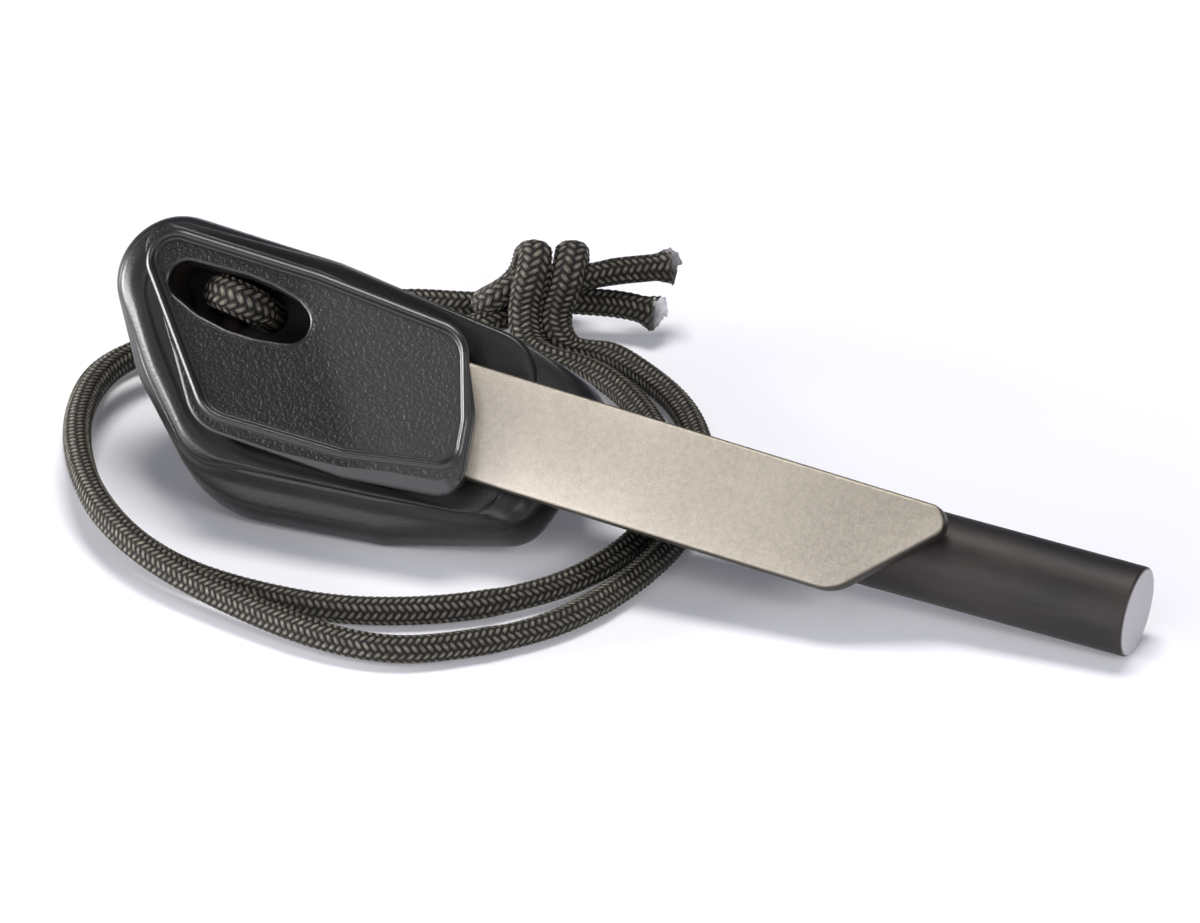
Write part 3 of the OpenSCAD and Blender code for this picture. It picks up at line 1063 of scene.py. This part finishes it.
@dataclass
class ScraperHead:
    """The head moulded on the blade's tang: a smooth border round a grained field, and a barred slot."""

    channel_r: float = 5.45
    channel_end: float = 27.0
    slot_w: float = 5.6
    lip: float = 0.42
    bar_r: float = 1.1
    bar_z: float = 4.3
    around: int = 320

    def skin(self) -> tuple[np.ndarray, dict[str, np.ndarray]]:
        """The whole skin as one band of rings that closes through the slot.

        The side is undercut and ends in a flat facet, broad only at the near corner by the blade.

        Returns:
            The grid in the tool's millimetres, and its masks: the grain, painted shade inside the slot, and painted
            light, which is less behind a slanting fold across the field.
        """
        edge, field, top, bed = HEAD.edge(), HEAD.field(), HEAD.top, HEAD.top - HEAD.field_drop
        rim = ring_of(edge, 0.0, 0.0, self.around)
        out = outward(rim)
        room = np.linalg.norm(rim - ring_of(field, 0.0, 0.0, self.around), axis=1)
        share = smooth((-out[:, 1] - 0.3) / 0.5) * smooth((30.0 + LAY.rod_free + rim[:, 0]) / 17.0)
        facet = np.clip(0.3 + 1.2 * share, 0.06, np.maximum(room - 1.15, 0.06))
        low = top - 0.16 - 0.36 * facet

        def at(inset: Union[float, np.ndarray], z: Union[float, np.ndarray]) -> np.ndarray:
            """The outline drawn in by inset, at height z."""
            flat = rim - out * np.broadcast_to(inset, len(rim))[:, None]
            return np.concatenate([flat[:, :2], np.broadcast_to(z, len(rim))[:, None]], 1)

        under = loft([at(2.2, 3.0), at(1.8, 4.0), at(1.2, 5.1), at(0.62, 6.3), at(0.25, low - 1.3), at(0.06, low - 0.5),
                      at(0.0, low - 0.12)], 30)
        side = [*under, at(0.02, low - 0.04), at(0.07, low + 0.01)]
        side += [at(0.1 + (facet - 0.16) * t, low + 0.03 + (facet - 0.16) * t * 0.36) for t in (0, 0.25, 0.5, 0.75, 1)]
        side += [at(facet, top - 0.165), at(facet + 0.06, top - 0.15)]
        shoulder = between(side[-1], ring_of(field, -0.98, top - 0.13, self.around), 8)
        ridge = ((-0.98, -0.13), (-0.86, -0.125), (-0.68, -0.06), (-0.5, 0.02), (-0.33, -0.01), (-0.2, -0.12), (-0.1, -0.24),
                 (-0.02, -0.37), (0.1, -0.44), (0.3, -0.455), (0.6, -HEAD.field_drop))
        wall = loft([ring_of(field, inset, top + z, self.around) for inset, z in ridge], 44)
        turns = ((0.0, 0.0), (0.3, 0.05), (0.7, 0.3), (0.95, 0.7), (1.0, 1.0))
        lips = [SLOT.leaf(self.lip * (1 - c), bed - self.lip * s, self.around) for c, s in turns]
        foot = SLOT.leaf(0.0, HEAD.floor, self.around)
        parts = [
            np.array(side[:-1]), shoulder, wall[:-1], between(wall[-1], lips[0], 44), np.array(lips[:-1]),
            between(lips[-1], foot, 14), between(foot, side[0], 24),
        ]
        grain = [0.0, 0.8, smooth(np.linspace(-1.6, 1.0, len(wall) - 1)), 1.0, 0.3, 0.0, 0.0]
        # painted shade: none outside, growing down the slot below its lip, full at its foot
        dark = [0.0, 0.0, 0.0, 0.0, 0.0, smooth(np.linspace(0.0, 3.0, 14)), 1.0]
        # painted light: full on the smooth parts; across the field less behind a slanting fold, with a lighter band
        # along it
        fold = 22.5 + 0.72 * np.concatenate(parts)[..., 1] + np.concatenate(parts)[..., 0] + LAY.rod_free
        lit = smooth((fold + 4.0) / 8.0) + 0.25 * np.exp(-(fold / 1.6) ** 2)
        share = np.concatenate([np.full(len(p), 0.0) + g for p, g in zip(parts, grain)])
        inner = np.concatenate([np.full(len(p), 0.0) + g for p, g in zip(parts, dark)])
        grid = np.concatenate(parts)
        behind = -grid[..., 0] - LAY.rod_free
        arch = np.sqrt(np.maximum(self.channel_r ** 2 - grid[..., 1] ** 2, 0.0))
        arch = arch * (1 - smooth((behind - self.channel_end + 1.5) / 1.5))
        grid[..., 2] = np.maximum(grid[..., 2], np.minimum(arch, self.channel_r))
        share, inner = (np.repeat(value[:, None], self.around, 1) for value in (share, inner))
        return grid, {"grained": share, "inner": inner, "lit": 1 + (lit - 1) * share}

    def build(self, finish: GrainedPlastic) -> list[bpy.types.Object]:
        """Builds the head and its bar and dresses them.

        Args:
            finish: the head's plastic.

        Returns:
            The finished pieces.
        """
        material = finish.paint()
        grid, masks = self.skin()
        head = mesh_from_grid("head_shell", LAY.surface(grid) * MM, wrap=True, masks=masks, sharp=25.0)
        dress(head, material, Body.SCRAPER, Slot.HEAD, "scraper_head")
        reach = self.slot_w / 2 + 0.3
        a = np.linspace(0.0, 2 * math.pi, 48, endpoint=False)
        y = np.linspace(-reach, reach, 12)
        flat = SLOT.out(SLOT.bar_x + self.bar_r * np.cos(a)[None], y[:, None] + 0 * a[None])
        high = np.repeat((self.bar_z + self.bar_r * np.sin(a))[None], len(y), 0)
        # the bar sits in the slot: painted shade over all of it, and no painted light
        bar = mesh_from_grid("slot_bar", LAY.surface(np.concatenate([flat, high[..., None]], -1)) * MM,
                             masks={"grained": high * 0, "inner": high * 0 + 1, "lit": high * 0})
        dress(bar, material, Body.SCRAPER, Slot.HEAD)
        return [head, bar]


@dataclass
class ScraperBlade:
    """The scraper's steel: a flat blade with a slanted tip, and its tang."""

    length: float = 55.5
    width: float = 11.7
    thickness: float = 2.0
    tip_l: float = 2.6
    tip_r: float = 1.9
    heel_r: float = 4.5
    tang_l: float = 12.0
    tang_w: float = 8.0
    under: float = 5.2
    root_s: float = 13.0
    root_y: float = 0.3
    yaw: float = math.radians(-1.8)
    edge: float = 0.22

    def outline(self) -> np.ndarray:
        """The blade's outline, with arcs at its heel and tip.

        Returns:
            Points along and across the blade in millimetres, going round once.
        """
        half = self.width / 2
        pull = self.heel_r * math.tan(math.radians(22.5))
        heel = self.length - (self.width - self.tip_l) - pull
        a = np.radians(np.linspace(-90.0, -45.0, 14))
        heel_arc = np.stack([heel + self.heel_r * np.cos(a), self.heel_r - half + self.heel_r * np.sin(a)], 1)
        b = np.radians(np.linspace(0.0, 90.0, 16))
        tip_x, tip_y = self.length - self.tip_r, half - self.tip_r
        tip_arc = np.stack([tip_x + self.tip_r * np.cos(b), tip_y + self.tip_r * np.sin(b)], 1)
        w = self.tang_w / 2
        tang_low = np.array([[-self.tang_l, -w], [-0.2, -w], [0.0, -w - 0.2], [0.0, -half + 0.2], [0.2, -half]])
        corner = np.array([[self.length - 0.25, half - self.tip_l - 0.25], [self.length, half - self.tip_l + 0.25]])
        tang_top = np.array([[0.2, half], [0.0, half - 0.2], [0.0, w + 0.2], [-0.2, w], [-self.tang_l, w]])
        return np.vstack([tang_low, heel_arc, corner, tip_arc, tang_top])

    def build(self, finish: SatinSteel) -> bpy.types.Object:
        """Builds the blade and dresses it.

        Each level is the outline drawn in along its own normals, so that the edges are rounded.

        Args:
            finish: the blade's steel.

        Returns:
            The finished piece.
        """
        line = self.outline()
        step = unit(np.roll(line, -1, 0) - line)
        before = np.roll(step, 1, 0)
        normal = unit(np.stack([(step + before)[:, 1], -(step + before)[:, 0]], 1))
        q = np.linspace(0.0, math.pi / 2, 5)
        inset = np.concatenate([self.edge * (1 - np.sin(q)), [0.0, 0.03, 0.09, 0.34, 0.4]])
        z = np.concatenate([self.edge * (1 - np.cos(q)), self.thickness - np.array([0.26, 0.17, 0.11, 0.015, 0.0])])
        flat = line[None] - normal[None] * inset[:, None, None]
        c, s = math.cos(self.yaw), math.sin(self.yaw)
        x = flat[..., 0] * c - flat[..., 1] * s - LAY.rod_free - self.root_s
        y = flat[..., 0] * s + flat[..., 1] * c + self.root_y
        high = np.repeat((self.under + z)[:, None], len(line), 1)
        # painted shade: full on the rounded edges and the side, fading onto the top face
        edge_shade = np.array([1.0] * 8 + [0.25, 0.0])
        # masks: painted light along the blade, lighter by the tang, and painted shade on the rounded edges
        masks = {
            "painted_light_gradient": 1 - smooth((flat[..., 0] - 2.0) / 52.0), "rim": np.repeat(edge_shade[:, None], len(line), 1),
        }
        made = mesh_from_grid("blade_steel_plate", LAY.surface(np.stack([x, y, high], -1)) * MM, masks=masks, sharp=50.0)
        dress(made, finish.paint(), Body.SCRAPER, Slot.BLADE, "scraper_blade")
        return made


def frames_along(curve: np.ndarray) -> tuple[np.ndarray, np.ndarray]:
    """Two directions square to a curve at each of its points, carried on without twist."""
    t = unit(np.gradient(curve, axis=0))
    side = np.zeros_like(t)
    v = np.cross(t[0], [0.1, 0.2, 1.0])
    for n, heading in enumerate(t):
        v = unit(v - (v @ heading) * heading)
        side[n] = v
    return side, np.cross(t, side)


def braided(
    name: str, curve: np.ndarray, braid: Braid, size: np.ndarray, press: Union[np.ndarray, None] = None,
    across: Union[np.ndarray, None] = None,
) -> bpy.types.Object:
    """A braided cord along a curve.

    Each ring's point is the curve's point plus a turn of the two square directions, as far as the
    radius less the relief where the weave is low. A pressed cord is thinner along one direction and
    wider along another.

    Args:
        name: the piece's name.
        curve: the centreline in surface millimetres, its points a step apart.
        braid: the braid.
        size: the radius's share at each point.
        press: how strongly each point is pressed along the given direction, with that direction, as four numbers.
        across: the direction that each point widens in.

    Returns:
        The cord's object.
    """
    run = np.concatenate([[0.0], np.cumsum(np.linalg.norm(np.diff(curve, axis=0), axis=1))])
    height = braid.weave(run)
    side, other = frames_along(curve)
    a = np.arange(braid.around) / braid.around * 2 * math.pi
    r = (braid.radius * size)[:, None] - braid.relief * (1 - height)
    offset = r[..., None] * (np.cos(a)[None, :, None] * side[:, None] + np.sin(a)[None, :, None] * other[:, None])
    if press is not None:
        thin, wide = press[:, :3], across
        amount = press[:, 3][:, None, None]
        inward = np.einsum("ijk,ik->ij", offset, thin)[..., None] * thin[:, None]
        outward = np.einsum("ijk,ik->ij", offset, wide)[..., None] * wide[:, None]
        offset = offset + amount * (outward * 0.3 - inward * 0.16)
    grid = (curve[:, None] + offset) * MM
    grid[..., 2] = np.maximum(grid[..., 2], 0.0)
    return mesh_from_grid(name, grid, sharp=80.0, run=run)


@dataclass
class Lanyard:
    """One braided cord, doubled: over the head's bar, through both slots, round the tool, into a knot."""

    braid: Braid = Braid()
    diameter: float = 3.1
    bar_z: float = 4.3
    bend_r: float = 2.75
    leg_end: float = -6.0
    mouth: float = -9.0

    OUTER_ROUTE = (
        (-14.6, 20.2, 8.6), (-18.4, 24, 6.2), (-24.6, 23.4, 5), (-29.4, 18.9, 4.5), (-31, 12.6, 4.6),
        (-30.4, 6.2, 4.7), (-28, -1.4, 4.8), (-24.4, -8.2, 4.7), (-19, -15.2, 4.4), (-11.6, -20.7, 3.7),
        (-3.8, -23.9, 2.9), (4.4, -26.4, 2.4), (12.4, -27.8, 2.1), (18.8, -27, 1.9), (24.6, -23.2, 1.7),
        (30.2, -17.4, 1.6), (33.9, -9.8, 1.6), (35.8, -1.4, 1.6), (36.2, 7.4, 1.6), (34.6, 17.2, 1.6),
        (30.8, 26.4, 1.6), (25.2, 34.2, 1.6), (18.4, 39.6, 1.6),
    )
    INNER_ROUTE = (
        (-9, 19.4, 7.8), (-12, 24, 4.4), (-17.6, 27.8, 2.2), (-24.8, 28, 1.6), (-31, 24.4, 1.6),
        (-33.6, 18.2, 1.6), (-33, 11.2, 1.6), (-30.6, 4.2, 1.6), (-26.8, -3, 1.6), (-21.2, -10.2, 1.6),
        (-14.2, -16.2, 1.6), (-6.6, -19.8, 1.6), (1.8, -21.2, 1.6), (9.8, -20.8, 1.6), (17.2, -18.2, 1.6),
        (24.2, -13.4, 1.6), (29.4, -6.8, 1.6), (32.2, 1.2, 1.6), (32.6, 9.6, 1.6), (30.4, 18.4, 1.6),
        (26.2, 26.4, 1.6), (20.8, 32.8, 1.6), (16.6, 36.2, 1.6),
    )
    OUTER_KNOT = (
        (4.5, -6.9, 1.6), (1.5, -5.7, 1.8), (0.2, -3.9, 3.6), (0.9, -2.8, 6.4), (1.6, -1.5, 9), (1.9, 0.5, 9.7),
        (2, 2.5, 8.3), (1.8, 3.2, 5.2), (0, 3.8, 2.5), (-4, 4, 1.6), (-10, 4, 1.6), (-15.8, 4.5, 1.6),
        (-19.4, 3, 1.6), (-19.8, -0.6, 1.6), (-16, -2.8, 1.6), (-10.4, -2.4, 1.6), (-5.2, -0.9, 2.9),
        (-1.6, 0, 4.1), (3.2, 0, 4.1), (6, -0.1, 3.9), (8.5, -0.6, 3.7), (10.8, -1.3, 3.3),
    )
    INNER_KNOT = (
        (3, -10.3, 1.6), (0, -8.6, 1.7), (-2.4, -5.9, 2.1), (-3, -3.6, 4.6), (-2.4, -2.4, 7.8), (-1.9, -0.4, 9.8),
        (-2.4, 2.2, 8.8), (-3.2, 3.3, 5.8), (-5.2, 2.9, 3.9), (-7.2, 1, 3.6), (-6.8, -0.9, 4.7), (-4.2, -0.7, 6.4),
        (-1.4, 0, 7), (3.2, 0, 7), (6, 0.3, 7.4), (9, 0.7, 7.6), (12.4, 1.2, 7.7),
    )

    def in_slot(self, x: float, z: float) -> np.ndarray:
        """A point of the slot, x along it from the bar and z over the rod's axis, in surface millimetres."""
        flat = SLOT.out(np.array(SLOT.bar_x + x), np.array(SLOT.bight_y))
        return LAY.surface(np.append(flat, z))

    def strand_line(self, side: float, route: Steps, knot: Steps) -> np.ndarray:
        """One strand's centreline from inside the handle's slot to its cut end, in surface millimetres."""
        start = [self.in_slot(side * self.bend_r, z) for z in (self.leg_end, -7.5, self.mouth)]
        points = np.vstack([start, np.array(route, float), LAY.at_knot(np.array(knot, float))])
        return evenly(spline(points, 6000), self.braid.step)

    def knot_press(self, curve: np.ndarray) -> tuple[np.ndarray, np.ndarray]:
        """How the knot presses a strand: flatter towards the knot's core, wider along it.

        The core is a level line through the knot. The strength falls softly with the distance from
        the knot along the core and outside it.

        Args:
            curve: the strand's centreline.

        Returns:
            The thin direction with its strength, and the wide direction, at each point.
        """
        core = LAY.at_knot(np.array([0.0, 0.0, 5.4]))
        axis = np.array([math.cos(LAY.knot_yaw), math.sin(LAY.knot_yaw), 0.0])
        apart = curve - core
        along = apart @ axis
        radial = apart - along[:, None] * axis
        far = np.linalg.norm(radial, axis=1)
        strength = (1 - smooth((np.abs(along) - 4.0) / 2.5)) * smooth((far - 1.2) / 1.6)
        thin = unit(radial)
        return np.concatenate([thin, strength[:, None]], 1), np.repeat(axis[None], len(curve), 0)

    def strand(self, name: str, side: float, route: Steps, knot: Steps, nodes: Sequence[str]) -> tuple:
        """Builds one strand.

        Args:
            name: the piece's name.
            side: which end of the bar its leg stands at, -1 or 1.
            route: its points on the surface.
            knot: its points through the knot and out as a tail.
            nodes: the CAD nodes that it stands for.

        Returns:
            The piece and its centreline, which the end bead needs.
        """
        curve = self.strand_line(side, route, knot)
        left = length_of(curve) - np.concatenate([[0.0], np.cumsum(np.linalg.norm(np.diff(curve, axis=0), axis=1))])
        press, across = self.knot_press(curve)
        size = 1 - 0.05 * press[:, 3] + 0.28 * (1 - smooth(left / 1.8))
        made = braided(name, curve, self.braid, size, press, across)
        dress(made, self.material, Body.HANDLE, Slot.CORD, *nodes)
        return made, curve

    def bight(self) -> bpy.types.Object:
        """Builds the bend over the bar with its two legs.

        The centreline is a half circle round the bar between two straight legs.
        """
        q = np.linspace(math.pi, 0.0, 60)
        top = [self.in_slot(self.bend_r * math.cos(a), self.bar_z + self.bend_r * math.sin(a)) for a in q]
        levels = np.linspace(self.leg_end, self.bar_z, 24, endpoint=False)
        left = [self.in_slot(-self.bend_r, z) for z in levels]
        right = [self.in_slot(self.bend_r, z) for z in levels[::-1]]
        curve = evenly(np.array(left + top + right), self.braid.step)
        bar = self.in_slot(0.0, self.bar_z)
        wide = unit(LAY.surface(np.append(SLOT.out(np.array(0.0), np.array(1.0)), 0.0))
                    - LAY.surface(np.append(SLOT.out(np.array(0.0), np.array(0.0)), 0.0)))
        up = unit(self.in_slot(0.0, 1.0) - self.in_slot(0.0, 0.0))
        radial = curve - bar
        radial = radial - (radial @ wide)[:, None] * wide
        strength = smooth((curve - bar) @ up / 1.6)
        press = np.concatenate([unit(radial), strength[:, None]], 1)
        made = braided("lanyard_bight", curve, self.braid, np.ones(len(curve)), press, np.repeat(wide[None], len(curve), 0))
        made.data.materials.append(self.material)
        start, end = (self.in_slot(0.0, z) * MM for z in (self.leg_end, HEAD.floor))
        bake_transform(made)
        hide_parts("cord_bight")
        LOG.info("%s: %d faces between the bodies", made.name, len(made.data.polygons))
        return made

    def bead(
        self, name: str, curve: np.ndarray, turn: float, clean: float, material: bpy.types.Material
    ) -> bpy.types.Object:
        """Builds the melted bead on a strand's cut end.

        A flattened ball whose radius is 1 plus three low waves in its two angles; it is paler towards one side.

        Args:
            name: the piece's name.
            curve: the strand's centreline.
            turn: where the pale side faces, in radians round the end.
            clean: how pale that side is, from 0 for scorched to 1.
            material: the bead's finish.

        Returns:
            The finished piece.
        """
        side, other = frames_along(curve)
        ahead = unit(curve[-1] - curve[-4])
        lat = np.linspace(0.02, math.pi - 0.02, 30)[:, None]
        lon = np.linspace(0.0, 2 * math.pi, 56, endpoint=False)[None]
        waves = 0.09 * np.sin(5 * lon + 3 * lat) + 0.07 * np.sin(9 * lon - 6 * lat + turn) + 0.05 * np.sin(14 * lat + 4 * lon)
        r = 1.82 * (1 + waves * np.sin(lat))
        deep = 0.85 * (1 + waves) * np.cos(lat) * (1 + 0.35 * np.cos(lon - turn))
        offset = (
            (r * np.sin(lat) * np.cos(lon))[..., None] * side[-1]
            + (r * np.sin(lat) * np.sin(lon))[..., None] * other[-1]
            + deep[..., None] * ahead
        )
        pale = clean * np.clip(0.35 + 0.65 * np.cos(lon - turn) * np.sin(lat) + 0.4 * np.cos(lat), 0, 1) + 0 * lat
        made = mesh_from_grid(name, (curve[-1] + offset) * MM, masks={"pale": pale}, sharp=80.0)
        dress(made, material, Body.HANDLE, Slot.CORD)
        return made

    def build(self, finish: BraidedNylon, melted: MeltedNylon) -> None:
        """Args:
            finish: the braid's finish.
            melted: the finish of the cut ends.
        """
        self.material = finish.paint()
        ends = melted.paint()
        bight = self.bight()
        for name, side, route, knot, nodes, turn, clean in (
            ("strand_outer", -1.0, self.OUTER_ROUTE, self.OUTER_KNOT,
             ("cord_outer", "cord_knot", "cord_tail_lower"), 0.6, 0.8),
            ("strand_inner", 1.0, self.INNER_ROUTE, self.INNER_KNOT, ("cord_inner", "cord_tail_upper"), 2.4, 0.3),
        ):
            made, curve = self.strand(name, side, route, knot, nodes)
            bead = self.bead(name.replace("strand", "melted_end"), curve, turn, clean, ends)
            tuple(self.in_slot(side * self.bend_r, self.mouth) * MM)
            [bead, bight] if side < 0 else [bead]
            LOG.info("%s: %.1f mm long", name, length_of(curve))


@dataclass
class Studio:
    """The pale floor, the soft lights and the photograph's camera."""

    aim: Triple = (0.0344, -0.0100, 0.0183)
    turn: Triple = (62.0, 0.0, 22.14)
    distance: float = 1.5
    focal_mm: float = 441.0
    sky: Triple = (0.1, 0.103, 0.155)
    floor_colour: Triple = (0.87, 0.87, 0.91)
    floor_glow: float = 0.08

    def camera(self) -> None:
        """Puts the camera at the photograph's angle, its distance behind what it aims at."""
        data = bpy.data.cameras.new("camera")
        data.lens = self.focal_mm
        data.sensor_width = 36.0
        data.clip_start, data.clip_end = 0.05, 20.0
        eye = bpy.data.objects.new("camera", data)
        eye.rotation_euler = [math.radians(x) for x in self.turn]
        tilt, yaw = math.radians(self.turn[0]), math.radians(self.turn[2])
        back = np.array([math.sin(tilt) * math.sin(yaw), -math.sin(tilt) * math.cos(yaw), math.cos(tilt)])
        eye.location = np.array(self.aim) + back * self.distance
        bpy.context.scene.collection.objects.link(eye)
        bpy.context.scene.camera = eye

    def seen_ray(self, g: Graph) -> Signal:
        """1 for rays that come from the camera, or by a mirror or glass, else 0."""
        rays = g.tree.nodes.new("ShaderNodeLightPath")
        seen = Signal(g, rays.outputs["Is Camera Ray"]) + Signal(g, rays.outputs["Is Glossy Ray"])
        return (seen + Signal(g, rays.outputs["Is Transmission Ray"])).clamped()

    def floor(self) -> None:
        """Lays the floor, which keeps the object's shadow and glows to the camera, more from 0.3 m outward."""
        side = 3.0
        mesh = bpy.data.meshes.new("floor")
        mesh.from_pydata([(-side, -side, 0), (side, -side, 0), (side, side, 0), (-side, side, 0)], [], [(0, 1, 2, 3)])
        made = bpy.data.objects.new("floor", mesh)
        bpy.context.scene.collection.objects.link(made)
        g = Paint("pale_floor")
        g.set(Base_Color=(*self.floor_colour, 1.0), Roughness=0.9, Specular_IOR_Level=0.0)
        glow = g.tree.nodes.new("ShaderNodeEmission")
        reach = g.node("ShaderNodeVectorMath", {"operation": "LENGTH"}, {"Vector": g.place()}, "Value")
        g.plug(glow.inputs["Strength"], self.seen_ray(g) * ((reach - 0.3).clamped() * 1.2 + self.floor_glow))
        both = g.tree.nodes.new("ShaderNodeAddShader")
        g.tree.links.new(g.shader.outputs[0], both.inputs[0])
        g.tree.links.new(glow.outputs[0], both.inputs[1])
        g.tree.links.new(both.outputs[0], g.output.inputs["Surface"])
        mesh.materials.append(g.material)

    def lamp(self, name: str, place: Triple, size: tuple[float, float], power: float, colour: Triple) -> None:
        """Hangs one soft rectangular lamp that faces the tool.

        Args:
            name: the lamp's name.
            place: where it hangs, in metres.
            size: its width and height in metres.
            power: its power in watts.
            colour: its colour.
        """
        data = bpy.data.lights.new(name, "AREA")
        data.shape = "RECTANGLE"
        data.size, data.size_y = size
        data.energy = power
        data.color = colour
        made = bpy.data.objects.new(name, data)
        made.location = place
        away = Vector(place) - Vector((0.03, 0.0, 0.01))
        made.rotation_euler = away.to_track_quat("Z", "Y").to_euler()
        bpy.context.scene.collection.objects.link(made)

    def world(self) -> None:
        """Makes the surroundings: white where seen, a soft grey light elsewhere."""
        world = bpy.data.worlds.new("surroundings")
        world.use_nodes = True
        bpy.context.scene.world = world
        g = Graph(world.node_tree)
        seen = g.node("ShaderNodeLightPath", {}, {}, "Is Camera Ray")
        glow = g.node("ShaderNodeBackground", {}, {"Color": g.blend(self.sky, (1.0, 1.0, 1.0), seen)})
        g.node("ShaderNodeOutputWorld", {"is_active_output": True}, {"Surface": glow}, None)

    def build(self) -> None:
        """Builds the camera first, then the floor, the surroundings and the lamps."""
        self.camera()
        self.floor()
        self.world()
        self.lamp("overhead_softbox", (-0.02, 0.17, 1.1), (0.5, 0.38), 8.4, (1.0, 0.99, 0.95))
        self.lamp("front_softbox", (0.0, -0.9, 0.86), (0.6, 0.4), 1.2, (1.0, 1.0, 1.0))
        self.lamp("low_softbox", (-0.22, -1.1, 0.21), (1.36, 0.36), 4.8, (0.93, 0.94, 1.0))
        self.lamp("left_softbox", (-0.84, -0.29, 0.13), (0.75, 0.22), 15.0, (1.0, 1.0, 1.0))
        self.lamp("right_softbox", (0.8, -0.6, 0.58), (0.34, 0.34), 4.2, (1.0, 1.0, 1.0))
        bpy.context.scene.view_settings.view_transform = "Standard"


def main() -> None:
    """Builds the studio, the lanyard, the handle, the rod and the scraper, in that order."""
    logging.basicConfig(level=logging.INFO, format="%(message)s")
    Studio().build()
    # the braid's first colour is painted shade for its hollows, and its third a painted glint on its crests
    Lanyard().build(
        BraidedNylon("braided_nylon", (0.003, 0.0025, 0.0015), (0.029, 0.0245, 0.017), (0.37, 0.34, 0.265)),
        MeltedNylon("melted_nylon", (0.75, 0.74, 0.76), (0.03, 0.026, 0.022)),
    )
    Handle().build(MouldedPlastic("moulded_plastic", (0.009, 0.0082, 0.0072), 0.33, 3200.0, 0.00002))
    StrikingRod().build(CoatedRod("coated_rod", (0.018, 0.0165, 0.017), (0.05, 0.04, 0.034), (0.56, 0.54, 0.555)))
    ScraperHead().build(GrainedPlastic("grained_plastic", (0.007, 0.0066, 0.006), 0.32, 0.5, 2300.0, 0.00021))
    # the blade's third colour is painted shade for its rounded edges
    ScraperBlade().build(SatinSteel("satin_steel", (0.71, 0.64, 0.535), (0.345, 0.31, 0.252), (0.07, 0.062, 0.05), 0.42))


if __name__ == "__main__":
    main()
